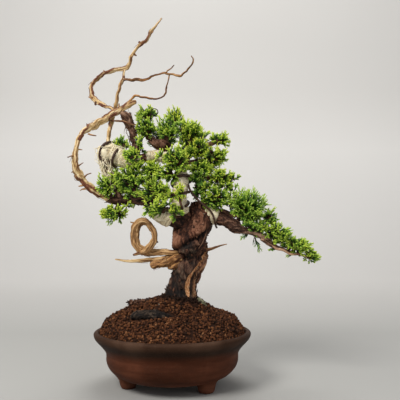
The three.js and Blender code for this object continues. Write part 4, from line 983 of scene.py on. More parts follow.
def deadwood_material():
    look = Look("deadwood", 0.66, 0.25)
    grain = look.value("grain", "Vector")
    fine = look.noise(look.scaled(grain, (1, 1, 0.08)), 1.7, 6, 0.65, 0.4)
    relief = look.with_height(fine, 0.5)
    pale = look.ramp(
        relief, (0.34, 0.18, 0.08, 0.03), (0.44, 0.5, 0.31, 0.125), (0.54, 0.75, 0.56, 0.3),
        (0.7, 0.9, 0.78, 0.52),
    )
    tan = look.ramp(
        relief, (0.36, 0.05, 0.016, 0.005), (0.46, 0.21, 0.085, 0.024), (0.56, 0.44, 0.205, 0.064),
        (0.7, 0.64, 0.37, 0.145),
    )
    dark = look.ramp(relief, (0.36, 0.012, 0.009, 0.005), (0.5, 0.06, 0.042, 0.02), (0.68, 0.2, 0.14, 0.07))
    brown = look.sum(look.noise(grain, 0.09, 3), 0.9, look.sum(look.value("brown"), 1.0, -0.45))
    tan_share = look.share(brown, 1.0)
    colour = look.mix(look.share(brown, 1.0, -1.0), look.mix(tan_share, pale, tan), dark)
    fresh = look.ramp(fine, (0.35, 0.05, 0.014, 0.007), (0.52, 0.17, 0.055, 0.025), (0.7, 0.38, 0.16, 0.075))
    aged = look.ramp(fine, (0.35, 0.02, 0.007, 0.005), (0.52, 0.085, 0.028, 0.014), (0.7, 0.22, 0.09, 0.045))
    bark_colour = look.mix(tan_share, fresh, aged)
    return look.finished(look.mix(look.value("old_bark"), colour, bark_colour), fine, 0.4)


def raffia_material():
    look = Look("raffia", 0.78, 0.25)
    grain = look.value("grain", "Vector")
    fibres = look.noise(look.scaled(grain, (0.14, 0.14, 1.4)), 1.1, 5, 0.65, 0.3)
    colour = look.ramp(
        look.with_height(fibres, 0.6), (0.3, 0.29, 0.2, 0.11),
        (0.42, 0.66, 0.55, 0.36), (0.56, 0.9, 0.81, 0.59), (0.72, 0.97, 0.93, 0.75),
    )
    stain = look.share(look.noise(grain, 0.16, 3), 2.4, -1.05)
    colour = look.mix(stain, colour, look.tinted(colour, 0.72, 0.62, 0.46))
    # Painted shade: dark where each wound strip steps over the next, and in the torn slits
    painted_strip_shade = look.share(look.value("edge"), -2.2, 0.9)
    return look.finished(look.mix(painted_strip_shade, colour, (0.13, 0.085, 0.05, 1)), fibres, 0.5)


def wire_material():
    look = Look("wire", 0.42, 0.4, 0.25)
    scuffs = look.noise(look.place(), 420, 4)
    colour = look.ramp(
        scuffs, (0.35, 0.03, 0.013, 0.008), (0.6, 0.068, 0.031, 0.019), (0.75, 0.14, 0.07, 0.045),
    )
    look.put(look.surface["Roughness"], look.sum(scuffs, 0.4, 0.28))
    return look.finished(colour, scuffs, 0.1)


def foliage_material():
    look = Look("foliage", 0.45, 0.35)
    scales = look.noise(look.place(), 1500, 2, 0.5)
    # The green follows the age of the cords, from brown stems to lime tips, which also carries the painted
    # shade inside the tufts and the painted light on their tops
    green = look.ramp(
        look.sum(scales, 0.4, look.sum(look.value("age"), 1.0, -0.2)), (0.0, 0.1, 0.046, 0.02),
        (0.1, 0.05, 0.033, 0.01), (0.22, 0.011, 0.032, 0.004), (0.44, 0.043, 0.125, 0.008),
        (0.66, 0.18, 0.355, 0.02), (0.88, 0.53, 0.69, 0.078),
    )
    tone = look.sum(look.noise(look.place(), 90, 3), 1.3, look.sum(look.value("tone"), 1.0, -0.65))
    # Tones above 0 tint the cords yellower and brighter, and tones below 0 darker; besides each tuft's own
    # tone they carry painted shade on the tufts at the back, inside and under the cascade, and painted light
    # on the tufts on the right
    colour = look.mix(look.share(tone, 0.9), green, look.tinted(green, 1.35, 1.1, 0.75))
    colour = look.mix(look.share(tone, -0.9), colour, look.tinted(green, 0.5, 0.64, 0.8))
    return look.finished(colour, scales, 0.25)


def stoneware_material():
    """Brick red belly between a paler foot and a dark grey-brown lip band, darkened as painted shade under
    the flared lip, with a paler rim painted above it as a highlight along the lip's top
    """
    look = Look("stoneware", 0.6, 0.05)
    place = look.place()
    clouds = look.noise(place, 28, 4, 0.55, 0.4)
    streaks = look.noise(look.scaled(place, (0.4, 0.4, 3)), 60, 4)
    speckle = look.noise(place, 900, 3, 0.7)
    belly = look.ramp(
        look.sum(streaks, 0.5, look.sum(clouds, 0.5)), (0.35, 0.041, 0.0128, 0.0062),
        (0.5, 0.071, 0.0222, 0.0108), (0.65, 0.112, 0.0365, 0.0185),
    )
    lip = look.ramp(
        clouds, (0.35, 0.019, 0.0094, 0.0056), (0.55, 0.029, 0.0154, 0.0098), (0.7, 0.046, 0.0262, 0.0176),
    )
    wavy_height = look.sum(clouds, 0.006, look.along(place, "Z"))
    # Bands by height: a paler foot, the belly, the dark lip band, which is painted shade under the flared
    # lip, and the rim, painted paler as a highlight along the lip's top
    colour = look.tinted(belly, 1.5, 1.7, 1.9)
    rim = look.tinted(lip, 1.75, 1.65, 1.55)
    for above, start, depth in ((belly, 0.013, 0.004), (lip, 0.0385, 0.006), (rim, 0.047, 0.004)):
        colour = look.mix(look.share(wavy_height, 1 / depth, -start / depth), colour, above)
    colour = look.mix(look.share(speckle, 2.6, -1.5), colour, (0.11, 0.07, 0.05, 1))
    look.put(look.surface["Roughness"], look.sum(clouds, 0.3, 0.46))
    return look.finished(colour, speckle, 0.18)


def soil_material():
    look = Look("soil", 0.9, 0.12)
    crumb = look.noise(look.place(), 1300, 4, 0.7)
    colour = look.ramp(
        look.sum(crumb, 0.3, look.sum(look.value("tint"), 0.85, -0.12)), (0.0, 0.01, 0.006, 0.004),
        (0.25, 0.042, 0.017, 0.009), (0.5, 0.1, 0.036, 0.015), (0.75, 0.185, 0.073, 0.028),
        (1.0, 0.34, 0.17, 0.08),
    )
    return look.finished(colour, crumb, 0.35)


def moss_material():
    look = Look("moss", 0.85, 0.2)
    patches = look.noise(look.place(), 260, 3)
    colour = look.ramp(patches, (0.35, 0.1, 0.095, 0.045), (0.5, 0.25, 0.24, 0.14), (0.65, 0.42, 0.4, 0.28))
    return look.finished(colour, patches, 0.2)


def floor_material():
    """Painted shade and light: grey near the front, and paler further back and higher up"""
    look = Look("floor", 0.95, 0.1)
    place = look.place()
    clouds = look.noise(place, 1.2, 2, 0.4)
    near = look.ramp(clouds, (0.3, 0.36, 0.355, 0.34), (0.7, 0.385, 0.38, 0.362))
    far = look.ramp(clouds, (0.3, 0.585, 0.57, 0.548), (0.7, 0.615, 0.6, 0.578))
    high = look.ramp(clouds, (0.3, 0.795, 0.775, 0.745), (0.7, 0.835, 0.815, 0.785))
    # Painted shade: the floor is darker near the front and paler further back and up the bend
    colour = look.mix(look.share(look.along(place, "Y"), 1.3, -0.38), near, far)
    return look.finished(look.mix(look.share(look.along(place, "Z"), 2.2, -0.02), colour, high))


# The pot
def lathe(shape, profile, segments, centre, seed, wobble):
    """A closed outline of [radius, z] points turned about an upright axis"""
    radius, height = profile.T
    turned = around(radius, ring_angles(segments)[:, None], height)
    uneven = swing(turned * 0.05 + seed, seed, 3) * wobble
    turned = turned * (1 + (uneven / np.maximum(radius, 8))[..., None] * [1, 1, 0]) + [*centre, 0]
    first = np.arange(segments * len(profile)).reshape(segments, len(profile))
    second = np.roll(first, -1, axis=0)
    corners = [first, second, np.roll(second, -1, axis=1), np.roll(first, -1, axis=1)]
    shape.add(turned, [np.stack(corners, axis=-1)])


def refined(outline, steps):
    points = np.column_stack([np.array(outline, float), np.zeros(len(outline))])
    samples = np.linspace(0, len(outline) - 1, (len(outline) - 1) * steps + 1)
    return curve_through(points, samples)[:, :2]


def make_pot():
    shape = Shape()
    profile = np.vstack([refined(POT_OUTSIDE, 4), refined(POT_INSIDE, 3)])
    lathe(shape, profile, POT_SEGMENTS, (0, 0), 5, 0.7)
    outline = np.vstack([[FOOT_AXIS_RADIUS, 0], refined(FOOT_OUTLINE, 3), [FOOT_AXIS_RADIUS, FOOT_HEIGHT]])
    for turn in (0, 120, 240):
        angle = math.radians(FOOT_FIRST_ANGLE_DEG + turn)
        centre = (FOOT_RING_RADIUS * math.cos(angle), FOOT_RING_RADIUS * math.sin(angle))
        lathe(shape, outline, FOOT_SEGMENTS, centre, 7 + turn, 0.8)
    make_fine_piece("pot", shape, stoneware_material())


# The soil
def mound_height(radius, angle):
    left, right = (np.interp(radius, *np.array(side, float).T) for side in (SOIL_LEFT, SOIL_RIGHT))
    return left + (right - left) * (1 + np.cos(angle)) / 2


def root_hollow(places):
    """How deep the soil is washed away just in front of the front root"""
    root = limb(FRONT_ROOT, 2.5).centre - [0, HOLLOW_AHEAD, 0]
    away = np.min([np.hypot(places[..., 0] - x, places[..., 1] - y) for x, y, _ in root], axis=0)
    return HOLLOW_DEPTH * bump_at(away, HOLLOW_WIDTH)


def icosahedron():
    golden = (1 + math.sqrt(5)) / 2
    points = []
    for a in (-1, 1):
        for b in (-golden, golden):
            points += [[0, a, b], [a, b, 0], [b, 0, a]]
    points = unit(np.array(points, float))
    faces = []
    for trio in itertools.combinations(range(len(points)), 3):
        a, b, c = points[list(trio)]
        if max(np.linalg.norm(a - b), np.linalg.norm(b - c), np.linalg.norm(c - a)) < ICOSAHEDRON_REACH:
            outward = np.dot(np.cross(b - a, c - a), a + b + c) > 0
            faces.append(trio if outward else (trio[0], trio[2], trio[1]))
    return points, np.array(faces)


def random_turns(rng, count):
    """Random rotation matrices"""
    a = unit(rng.normal(size=(count, 3)))
    b = unit(np.cross(a, rng.normal(size=(count, 3))))
    return np.stack([a, b, np.cross(a, b)], axis=-1)


def add_bed(shape):
    """The closed body under the grains, painted dark as the shade between them"""
    radius = np.linspace(0.02, SOIL_EDGE_RADIUS, BED_RINGS)[:, None]
    angle = ring_angles(BED_SIDES)
    bed = around(radius, angle, mound_height(radius, angle) - BED_DEPTH)
    bed[..., 2] += swing(bed * 0.5, 3, 3) * 1.6 - root_hollow(bed)
    under = bed[-1:] * [0.94, 0.94, 0] + [0, 0, BED_UNDERSIDE_Z]
    body = np.concatenate([bed, under]).reshape(-1, 3)
    points = np.concatenate([body, [[0, 0, BED_UNDERSIDE_Z]]])
    ring = np.arange(BED_SIDES)
    quads = ring_quads(BED_RINGS + 1, BED_SIDES)[..., [0, 3, 2, 1]]
    underside = fan(len(body), ring + len(body) - BED_SIDES)[:, [0, 2, 1]]
    shape.add(points, [quads, underside, ring[None, ::-1]], tint=np.full(len(points), BED_SHADE_TINT))


def spread_grains(rng):
    """Middles and sizes of the soil grains, spread evenly over the slope of the mound"""
    ring = np.linspace(0, SOIL_EDGE_RADIUS, 200)
    mean_height = (mound_height(ring, 0) + mound_height(ring, np.pi)) / 2
    slant = np.hypot(np.diff(ring), np.diff(mean_height))
    area = np.concatenate([[0], np.cumsum(slant * (ring[1:] + ring[:-1]))])
    order = np.arange(SOIL_GRAINS)
    radius = np.interp((order + rng.random(SOIL_GRAINS)) / SOIL_GRAINS * area[-1], area, ring)
    turn = order * math.pi * (3 - math.sqrt(5)) + rng.normal(0, 0.25, SOIL_GRAINS)
    size = rng.uniform(*GRAIN_RADIUS, SOIL_GRAINS)
    size = size * np.where(rng.random(SOIL_GRAINS) < LARGE_GRAIN_SHARE, LARGE_GRAIN_SCALE, 1)
    centre = around(radius, turn, mound_height(radius, turn) + rng.normal(-0.2, 0.75, SOIL_GRAINS))
    centre[:, 2] -= root_hollow(centre)
    return centre, size


def make_soil():
    rng = np.random.default_rng(SEEDS["soil"])
    shape = Shape()
    add_bed(shape)
    centre, size = spread_grains(rng)
    base, faces = icosahedron()
    uneven = base * rng.uniform(*GRAIN_BUMPS, (SOIL_GRAINS, len(base), 1))
    uneven = uneven * rng.uniform(*GRAIN_STRETCH, (SOIL_GRAINS, 1, 3)) * size[:, None, None]
    grains = np.einsum("nij,nkj->nki", random_turns(rng, SOIL_GRAINS), uneven) + centre[:, None]
    clumps = swing(centre * 0.06, 9, 2)
    tint = np.clip(rng.beta(2.0, 2.6, SOIL_GRAINS) + clumps * 0.5 + 0.01, 0, 1)
    foot = np.hypot(*((centre[:, :2] - DARK_SOIL_MIDDLE) / DARK_SOIL_REACH).T)
    tint = tint * (0.1 + 0.9 * smoothstep(0.78, 1.1, foot))
    clear = np.ones(SOIL_GRAINS, bool)
    for stations in (FRONT_ROOT, LEFT_ROOT):
        course = limb(stations, 1.5)
        for place, reach in zip(course.centre, course.radius):
            clear &= np.linalg.norm(centre - place, axis=1) > reach + ROOT_CLEARANCE
    grains, tint = grains[clear], tint[clear]
    shape.add(grains, [repeated(faces, len(grains), len(base))], tint=np.repeat(tint, len(base)))
    make_fine_piece("soil", shape, soil_material(), smooth=False)


def make_moss():
    """Pale moss at the trunk's right foot"""
    rng = np.random.default_rng(SEEDS["moss"])
    x, y = (rng.normal(middle, spread, MOSS_STEMS) for middle, spread in zip(MOSS_MIDDLE, MOSS_SPREAD))
    roots = np.column_stack([x, y, mound_height(np.hypot(x, y), np.arctan2(y, x)) - 0.4])
    aim = unit(rng.normal(0, 0.55, (MOSS_STEMS, 3)) + [0.2, -0.2, 1])
    length = rng.uniform(*MOSS_LENGTH, (MOSS_STEMS, 1))
    twigs = Twigs()
    for _ in range(3):
        reach = unit(aim + rng.normal(0, 0.5, (MOSS_STEMS, 3))) * length
        twigs.add(roots, roots + reach * 0.5, roots + reach, MOSS_RADIUS, 0.2, 1, 0)
    shape = Shape()
    twigs.build(shape, rng, roots.mean(axis=0), 6)
    make_piece("moss", shape, moss_material())


def make_straw(material):
    """One straw that lies on the soil"""
    shape = Shape()
    tube(shape, limb(STRAW, 0.7), 7, height=0.9, edge=0.9)
    make_piece("straw", shape, material)


# The wood
def make_tree(material):
    rng = np.random.default_rng(SEEDS["tree"])
    shape = Shape()
    trunk = limb(TRUNK)
    tube(shape, trunk, 120, trunk_relief)
    for count, length, lift, height, warm in TRUNK_FLAKES:
        add_flakes(shape, trunk, rng, count, length, lift, keep=off_the_strip, **bark_values(height, warm))
    limbs = [
        (LEADER, 30, 60, bark_relief(0.4, 1.8, 5, 0.7, 0.05)),
        (ELBOW_DOWN, 16, 20, bark_relief(0.3, 1.2, 7, 0.6, 0.3)),
        (LOWER_LEFT, 36, 90, bark_relief(0.5, 2.2, 11, 0.55, [-0.1, 0.2])),
        (CASCADE, 36, 110, bark_relief(0.55, 3.0, 13, 0.55, [0.0, 0.1, 1.1, 1.9, 2.0], 0.3, 5, 0.06)),
        (ROUGH_STUB, 34, 260, bark_relief(0.8, 4.2, 17, 1.0, 0.95, 0.3, 5, 0.05)),
        (DARK_BOUGH, 34, 160, bark_relief(0.8, 4.4, 19, 0.5, -0.1, 0.3, 5, 0.08)),
        (CASCADE_TWIN, 10, 0, bark_relief(0.12, 0.6, 37, 0.6, 2.0)),
        (RIGHT_BOUGH, 20, 12, bark_relief(0.22, 0.9, 23, 0.6, 0.3)),
        (RIGHT_MIDDLE_BOUGH, 20, 8, bark_relief(0.2, 0.8, 29, 0.9, 0.6)),
    ]
    for stations, sides, flakes, relief in limbs:
        kink, slim = ROUGH_KINK_AND_SLIM if stations in (ROUGH_STUB, DARK_BOUGH) else (0.0, 1.0)
        course = limb(stations, SPACING, kink, slim)
        tube(shape, course, sides, relief)
        add_flakes(shape, course, rng, flakes, 2.8, 1.0, 0.3, **bark_values(0.5, 0.7, 0.1))
    for number, stations in enumerate(SMALL_BRANCHES):
        tube(shape, limb(stations, 1.3), 8, bark_relief(0.12, 0.5, 43 + number, 0.7, 0.35))
    add_strands(shape, limb(ROUGH_STUB), rng, 34, 13, 4.0, 0.36, **bark_values(0.6, 0.9, 0.5))
    add_strands(shape, limb(DARK_BOUGH), rng, 8, 9, 2.5, 0.3, **bark_values(0.45, 0.6))
    x, z, depth = CURL_MIDDLE
    curl = [
        [x + CURL_REACH * math.cos(turn), z + CURL_REACH * math.sin(turn), depth + turn, 0.45]
        for turn in np.linspace(-2.6, 2.9, 12)
    ]
    tube(shape, limb([*CURL_FOOT, *curl]), 6, bark_relief(0.05, 0.1, 91, 0.3))
    tube(shape, limb(KNOB_THREAD), 6, **bark_values(0.6, 0.9, 0.5))
    make_fine_piece("trunk_and_branches", shape, material)


def make_roots(material):
    rng = np.random.default_rng(SEEDS["roots"])
    bulky_root = [
        [x, z - FRONT_ROOT_DROP, depth, radius + FRONT_ROOT_GROWTH]
        for x, z, depth, radius in FRONT_ROOT
    ]
    roots = (("surface_root_front", bulky_root, 40, -0.1), ("surface_root_left", LEFT_ROOT, 30, 0.75))
    for name, stations, sides, warm in roots:
        shape = Shape()
        course = limb(stations, 0.6)
        tube(shape, course, sides, bark_relief(0.45, 3.4, 83 + sides, warm, warm - 0.5, 0.8, 4))
        add_flakes(shape, course, rng, 110, 2.2, 0.9, **bark_values(0.34, warm, -0.5))
        make_fine_piece(name, shape, material)


def thorns(places, sides, seed, brown):
    return [
        (stations, sides, 0, grain_relief(0.04, 0.2, seed + number, brown))
        for number, stations in enumerate(places)
    ]


def make_deadwood(material):
    rng = np.random.default_rng(SEEDS["deadwood"])
    groups = {
        "deadwood_crown": [
            (GREAT_ARC, 30, 20, grain_relief(0.16, 0.35, 3, GREAT_ARC_BROWN, 0.6, 0.2)),
            (UPPER_LOOP, 20, 10, grain_relief(0.16, 0.5, 7, [0.0, 0.2], 0.62, 0.3)),
            (STRAIGHT_STICK, 18, 3, grain_relief(0.12, 0.3, 11, 0.1, 0.64, 0.1)),
            (RIGHT_WHIP, 12, 0, grain_relief(0.16, 0.6, 13, [0.8, 1.5], 0.62)),
            (WHIP_LINK, 12, 0, grain_relief(0.16, 0.6, 17, [1.3, 0.9], 0.62)),
            (CROSSING_TWIG, 10, 0, grain_relief(0.1, 0.5, 19, 0.5)),
            *thorns(CROWN_THORNS, 8, 23, 0.9),
        ],
        "deadwood_ring": [
            (RING_START, 32, 14, grain_relief(0.14, 0.2, 51, [0.72, 0.78], 0.61)),
            (RING_END, 30, 8, grain_relief(0.14, 0.2, 53, 0.78, 0.61)),
            (FLAT_SPIKE, 24, 2, grain_relief(0.12, 0.15, 57, [0.7, 0.0], 0.66)),
            (BROKEN_STUB, 36, 22, grain_relief(0.24, 0.3, 59, 0.92, 0.6)),
            (STUB_LOBE, 28, 10, grain_relief(0.2, 0.4, 61, 0.92, 0.6)),
            *thorns(RING_THORNS, 10, 63, 0.8),
        ],
        "deadwood_right_spike": [(RIGHT_SPIKE, 12, 0, grain_relief(0.1, 0.3, 71, 1.3))],
    }
    for name, limbs in groups.items():
        shape = Shape()
        kink, slim = CROWN_KINK_AND_SLIM if name == "deadwood_crown" else DEADWOOD_KINK_AND_SLIM
        for stations, sides, strands, relief in limbs:
            course = limb(stations, 0.7, kink, slim)
            tube(shape, course, sides, relief)
            add_strands(shape, course, rng, strands, 9, 1.6, 0.28, height=0.5, old_bark=0.6, brown=0.9)
        make_fine_piece(name, shape, material)


# Raffia and wires
def make_raffia(material):
    rng = np.random.default_rng(SEEDS["raffia"])
    for number, (name, stretches) in enumerate(RAFFIA_STRETCHES.items()):
        shape = Shape()
        rough = 0.5 if name == "raffia_lower_left" else 1.0
        for stations, first, last in stretches:
            torn = stations is ELBOW_DOWN
            stretch = np.array(stations[first:last + 1], float)
            stretch[:, 3] += np.interp(range(len(stretch)), *ELBOW_THICKNESS) if torn else RAFFIA_THICKNESS
            whole_fibres = ELBOW_FIBRES if name == "raffia_elbow" else OTHER_FIBRES
            count, lift = TORN_FIBRES if torn else whole_fibres
            course = limb(stretch, 0.5, 1.2 if torn else 0.0)
            tube(shape, course, 64, raffia_relief(101 + number, rough, torn))
            add_strands(shape, course, rng, count, 10, lift, 0.5, height=0.75, edge=0.7)
        make_fine_piece(name, shape, material)


def arch_wire():
    """The course of the wire that is wound round the arch of the leader"""
    course = limb(LEADER, 0.9)
    at = np.linspace(*ARCH_WIRE_SHARE, int(ARCH_WIRE_TURNS * 40)) * (len(course.along) - 1)
    low = np.minimum(at.astype(int), len(course.along) - 2)
    part = (at - low)[:, None]
    centre, side, across = (
        values[low] * (1 - part) + values[low + 1] * part
        for values in (course.centre, course.side, course.across)
    )
    reach = np.interp(at, np.arange(len(course.radius)), course.radius) + WIRE_CLEARANCE + WIRE_RADIUS
    angle = ARCH_WIRE_START + np.linspace(0, ARCH_WIRE_TURNS * 2 * np.pi, len(at))
    places = centre + unit(side) * (reach * np.cos(angle))[:, None]
    places = places + unit(across) * (reach * np.sin(angle))[:, None]
    return Course(np.column_stack([places, np.full(len(at), WIRE_RADIUS)]), SPACING)


def make_wires(material):
    courses = {
        "wire_arch": arch_wire(),
        "wire_elbow": limb([[*place, WIRE_RADIUS] for place in ELBOW_WIRE]),
        "wire_cascade": limb([[*place, LINK_WIRE_RADIUS] for place in LINK_WIRE]),
    }
    for name, course in courses.items():
        shape = Shape()
        tube(shape, course, 16, root_dome=0.6, tip_dome=0.6)
        make_fine_piece(name, shape, material)


# Foliage: forked cords on sprays, which reach out to the tips of each tuft's solid
def bent(start, bend, end, at):
    """Place and heading at a share of a bent cord"""
    place = (1 - at) ** 2 * start + 2 * at * (1 - at) * bend + at**2 * end
    return place, unit(2 * (1 - at) * (bend - start) + 2 * at * (end - bend))


class Twigs:
    """Bent cords, gathered as rows: start, bend and end, with radius and colour values"""
    def __init__(self):
        self.rows = []

    def add(self, start, bend, end, radius, young, old, tone):
        count = len(start)
        columns = [np.broadcast_to(np.asarray(value, float), count) for value in (radius, young, old, tone)]
        self.rows.append(np.column_stack([start, bend, end, *columns]))

    def build(self, shape, rng, middle, half):
        """Long cords get more rings than short ones"""
        rows = np.concatenate(self.rows)
        length = np.linalg.norm(rows[:, 6:9] - rows[:, 0:3], axis=1)
        for low, high, rings in CORD_RINGS:
            chosen = rows[(length >= low) & (length < high)]
            if len(chosen):
                self.build_alike(shape, rng, chosen, rings, middle, half)

    def build_alike(self, shape, rng, rows, rings, middle, half):
        start, bend, end = rows[:, None, 0:3], rows[:, None, 3:6], rows[:, None, 6:9]
        radius, young, old, tone = (rows[:, None, column] for column in range(9, 13))
        at = np.linspace(0, CORD_TIP_START, rings)[:, None]
        centre, tangent = bent(start, bend, end, at)
        side = unit(np.cross(tangent, unit(rng.normal(size=(len(rows), 1, 3)))))[:, :, None]
        across = np.cross(tangent[:, :, None], side)
        number = np.arange(rings)
        bulge = 1 + 0.1 * np.where(number % 2, 1, -1)
        taper = np.interp(number, [0, 1, rings - 1], [0.85, 1, 0.74])
        turn = ring_angles(CORD_SIDES)[:, None]
        reach = (radius * taper * bulge)[..., None, None]
        ring = centre[:, :, None] + (side * np.cos(turn) + across * np.sin(turn)) * reach
        point = rings * CORD_SIDES
        points = np.concatenate([ring.reshape(len(rows), point, 3), end], axis=1)
        foot = np.arange(CORD_SIDES)
        tips = fan(point, foot + point - CORD_SIDES)
        faces = [ring_quads(rings, CORD_SIDES).reshape(-1, 4), foot[None, ::-1], tips[:, [1, 2, 0]]]
        share = np.append(np.repeat(at, CORD_SIDES), 1)
        # Painted shade: cords deeper inside the tuft are darker, partly as older growth and partly as painted
        # shade, and higher cords are painted lighter than lower ones
        out = (points - middle) / half
        outness = np.clip(np.linalg.norm(out, axis=-1), 0, 1.15)
        age = (young + (old - young) * share) * (0.3 + 0.8 * smoothstep(0.2, 0.92, outness))
        age = age + 0.08 * out[..., 2]
        shape.add(points, [repeated(part, len(rows), point + 1) for part in faces],
                  age=age, tone=np.broadcast_to(tone, age.shape))


def grow_sprays(twigs, rng, roots, tips, tone, first_side=0.2, fullness=1.0, radius=CORD_RADIUS):
    """Each spray has an axis from root to tip, side cords left and right, and a fork on each of those"""
    count = len(roots)
    column = (count, 1)
    run = tips - roots
    length = np.linalg.norm(run, axis=1)[:, None]
    up = np.array([0, 0, 1.0])
    bend = roots + run * 0.55 - up * length * 0.09 + rng.normal(0, 0.07, (count, 3)) * length
    spread = unit(np.cross(run / length, unit(rng.normal(size=(count, 3)) * [1, 1, 1.6])))
    flat = np.cross(run / length, spread)
    tone = tone + rng.normal(0, 0.22, count)
    twigs.add(roots, bend, tips, radius * 1.1, 0.0, 0.95, tone)
    for number in range(SIDE_TWIGS):
        sign = np.where((number + np.arange(count)) % 2, 1.0, -1.0)[:, None]
        place = number + rng.uniform(0.1, 0.9, column)
        at = first_side + (LAST_SIDE_TWIG - first_side) * place / SIDE_TWIGS
        start, forward = bent(roots, bend, tips, at)
        lean = rng.uniform(*SIDE_LEAN, column)
        out = unit(sign * spread + flat * rng.normal(0, 0.5, column))
        aim = unit(forward * np.cos(lean) + out * np.sin(lean) + up * 0.06)
        reach = (0.5 * (1 - at) ** 0.8 + 0.14) * length * rng.uniform(0.75, 1.25, column) * fullness
        reach = np.clip(reach + 1.2, *SIDE_LENGTH)
        end = start + aim * reach
        side_bend = start + unit(aim * 0.8 + out * 0.35) * reach * 0.5
        young = 0.3 + 0.45 * at[:, 0]
        twigs.add(start, side_bend, end, radius * 0.95, young * 0.6, np.minimum(young + 0.35, 1.05), tone)
        fork = bent(start, side_bend, end, 0.3 + rng.uniform(0, 0.16, column))[0]
        lift = flat * rng.normal(0, 0.35, column)
        turn_sign = 1 if number // 2 % 2 else -1
        fork_aim = unit(aim + turn_sign * unit(np.cross(np.cross(forward, out), aim)) * 0.5 + lift)
        small = np.clip(reach * 0.58 * rng.uniform(0.8, 1.2, column), *FORK_LENGTH)
        fork_bend = fork + unit(fork_aim + aim * 0.1) * small * 0.5
        twigs.add(fork, fork_bend, fork + fork_aim * small, radius * 0.85, young * 0.8,
                  np.minimum(young + 0.45, 1.1), tone)


def solid_tips(name):
    """The outermost points of a tuft's solid in the pot's frame, with the middle and half size of its box"""
    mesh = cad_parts["foliage_" + name].data
    places = np.zeros(len(mesh.vertices) * 3, np.float32)
    mesh.vertices.foreach_get("co", places)
    places = places.reshape(-1, 3).astype(float) / MM + [TREE_CENTRE_X, 0, 0]
    unique, index = np.unique(np.round(places, 3), axis=0, return_inverse=True)
    edges = np.zeros(len(mesh.edges) * 2, np.int32)
    mesh.edges.foreach_get("vertices", edges)
    edges = index.reshape(-1)[edges.reshape(-1, 2)]
    low, high = unique.min(axis=0), unique.max(axis=0)
    middle = (low + high) / 2
    away = np.linalg.norm(unique - middle, axis=1)
    is_tip = np.ones(len(unique), bool)
    is_tip[np.where(away[edges[:, 0]] < away[edges[:, 1]], edges[:, 0], edges[:, 1])] = False
    return unique[is_tip], middle, (high - low) / 2


def in_the_clear(tips):
    """Which tips would hide neither the bare wood nor the gaps that are open to the front"""
    seen_x, seen_z = seen_from_front(tips)
    return np.all([np.hypot(seen_x - x, seen_z - z) >= reach for x, z, reach in OPEN_SPOTS], axis=0)


def fill_tips(name, rng):
    """Roots and tips of the sprays that close the gaps between a tuft and its neighbours"""
    roots, tips = [np.zeros((0, 3))], [np.zeros((0, 3))]
    for x, z, depth, reach in FILL_SPRAYS.get(name, ()):
        heart = real_places([[x, z - 0.5 * reach, depth]])[:, :3]
        count = int(reach * 1.5)
        aim = unit(rng.normal(size=(count, 3)) * [1, 0.8, 0.7] + [0, 0, 0.55])
        tips.append(heart + aim * reach * rng.uniform(0.75, 1.18, (count, 1)))
        roots.append(heart + aim * [0.25, 0.25, 0.1] * reach)
    return np.vstack(roots), np.vstack(tips)


def make_tuft(name, twigs, rng, branch_ends):
    tips, middle, half = solid_tips(name)
    end = branch_ends[np.argmin(np.linalg.norm(branch_ends - middle, axis=1))]
    outward = unit((middle - TREE_MIDDLE) * [1, 0.8, 0.7])
    heart = middle + np.clip(end - middle, -0.25 * half, 0.25 * half) - (outward * 0.42 + [0, 0, 0.22]) * half
    count = int(len(tips) * INNER_TIP_SHARE) + 2
    inner = middle + unit(rng.normal(size=(count, 3))) * half * rng.uniform(*INNER_REACH, (count, 1))
    tips = np.vstack([heart + (tips - heart) * rng.uniform(*OUTER_REACH, (len(tips), 1)), inner])
    roots = heart + (tips - heart) * [0.22, 0.22, 0.08] + rng.normal(0, 0.8, tips.shape)
    more_roots, more_tips = fill_tips(name, rng)
    roots, tips = np.vstack([roots, more_roots]), np.vstack([tips, more_tips])
    clear = in_the_clear(tips)
    drop = [0, 0, TUFT_DROPS.get(name, 0)]
    roots, tips = roots[clear] - drop, tips[clear] - drop
    grow_sprays(twigs, rng, roots, tips, TUFT_TONES_AND_PAINTED_LIGHT.get(name, 0.0))
    own = np.flatnonzero(np.linalg.norm((tips - middle) / half, axis=1) < 1.1)
    chosen = tips[rng.permutation(own)[:WOODY_TWIGS]]
    ends = heart - drop + (chosen + drop - heart) * rng.uniform(0.5, 0.85, (len(chosen), 1))
    starts = heart - drop + rng.normal(0, 1.0, ends.shape)
    bends = (starts + ends) / 2 + rng.normal(0, 1.2, ends.shape)
    twigs.add(starts, bends, ends, WOODY_RADIUS, 0.0, 0.12, -0.3)
    return middle, half


def make_under_spray(name, twigs, rng):
    places = real_places(UNDER_SPRAYS[name])[:, :3]
    for lean in range(2):
        shift = rng.normal(0, 0.8, (1, 3)) * lean
        grow_sprays(twigs, rng, places[:1], places[-1:] + shift, TUFT_TONES_AND_PAINTED_LIGHT[name], 0.1, 0.6,
                    UNDER_SPRAY_RADIUS)
    return places[0], np.linalg.norm(places[-1] - places[0])


def make_foliage(material):
    limbs = [RIGHT_BOUGH, RIGHT_MIDDLE_BOUGH, CASCADE, *SMALL_BRANCHES]
    branch_ends = np.array([real_places(stations)[-1, :3] for stations in limbs])
    nodes = sorted(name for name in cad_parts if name.startswith("foliage_"))
    for number, node in enumerate(nodes):
        name = node.removeprefix("foliage_")
        twigs = Twigs()
        if name in UNDER_SPRAYS:
            rng = np.random.default_rng(SEEDS["under_spray"] + number)
            middle, half = make_under_spray(name, twigs, rng)
        else:
            rng = np.random.default_rng(SEEDS["tuft"] + number)
            middle, half = make_tuft(name, twigs, rng, branch_ends)
        shape = Shape()
        twigs.build(shape, rng, middle, half)
        make_fine_piece(node, shape, material)


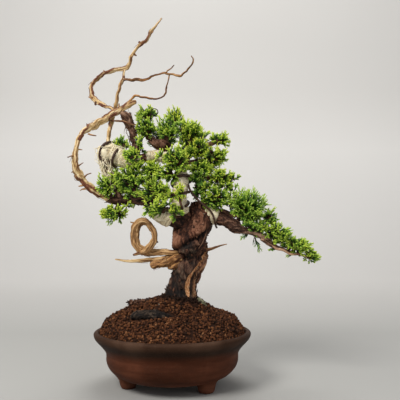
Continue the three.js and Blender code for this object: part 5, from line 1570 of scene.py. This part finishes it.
# Floor, light and camera
def make_stage():
    """A floor that bends up behind the object"""
    profile = [[FLOOR_FRONT_Y, 0], [FLOOR_BACK_Y, 0]]
    for turn in np.linspace(0, np.pi / 2, FLOOR_BEND_STEPS)[1:]:
        profile.append([FLOOR_BACK_Y + FLOOR_BEND * np.sin(turn), FLOOR_BEND * (1 - np.cos(turn))])
    profile.append([FLOOR_BACK_Y + FLOOR_BEND, FLOOR_TOP_Z])
    points = [[x * MM, y * MM, z * MM] for x in (-FLOOR_HALF_WIDTH, FLOOR_HALF_WIDTH) for y, z in profile]
    count = len(profile)
    mesh = bpy.data.meshes.new("floor")
    mesh.from_pydata(points, [], [[k, k + count, k + count + 1, k + 1] for k in range(count - 1)])
    mesh.polygons.foreach_set("use_smooth", np.full(count - 1, True))
    mesh.materials.append(floor_material())
    floor = new_object("floor", mesh)


def make_lights():
    for name, place, aim, size, power, colour in LIGHTS:
        data = bpy.data.lights.new(name, "AREA")
        data.shape = "DISK"
        data.size = size
        data.energy = power
        data.color = colour
        light = new_object(name, data)
        light.location = place
        light.rotation_mode = "QUATERNION"
        light.rotation_quaternion = (Vector(aim) - Vector(place)).to_track_quat("-Z", "Y")
    world = bpy.data.worlds.new("studio")
    world.use_nodes = True
    background = world.node_tree.nodes["Background"]
    background.inputs["Color"].default_value = SKY_COLOUR
    background.inputs["Strength"].default_value = SKY_STRENGTH
    bpy.context.scene.world = world
    bpy.context.scene.view_settings.view_transform = "Standard"


def make_camera():
    data = bpy.data.cameras.new("camera")
    data.sensor_width = SENSOR_MM
    data.lens = SENSOR_MM * FOCAL_PIXELS / PICTURE_PIXELS
    data.clip_start = 0.01
    data.clip_end = 20
    camera = new_object("camera", data)
    camera.location = (EYE - [TREE_CENTRE_X, 0, 0]) * MM
    camera.rotation_euler = (math.radians(90 + EYE_TILT_DEG), 0, 0)
    bpy.context.scene.camera = camera


make_camera()
make_stage()
make_lights()
make_pot()
make_soil()
make_moss()
bark = bark_material()
make_tree(bark)
make_roots(bark)
make_deadwood(deadwood_material())
raffia = raffia_material()
make_raffia(raffia)
make_straw(raffia)
make_wires(wire_material())
make_foliage(foliage_material())
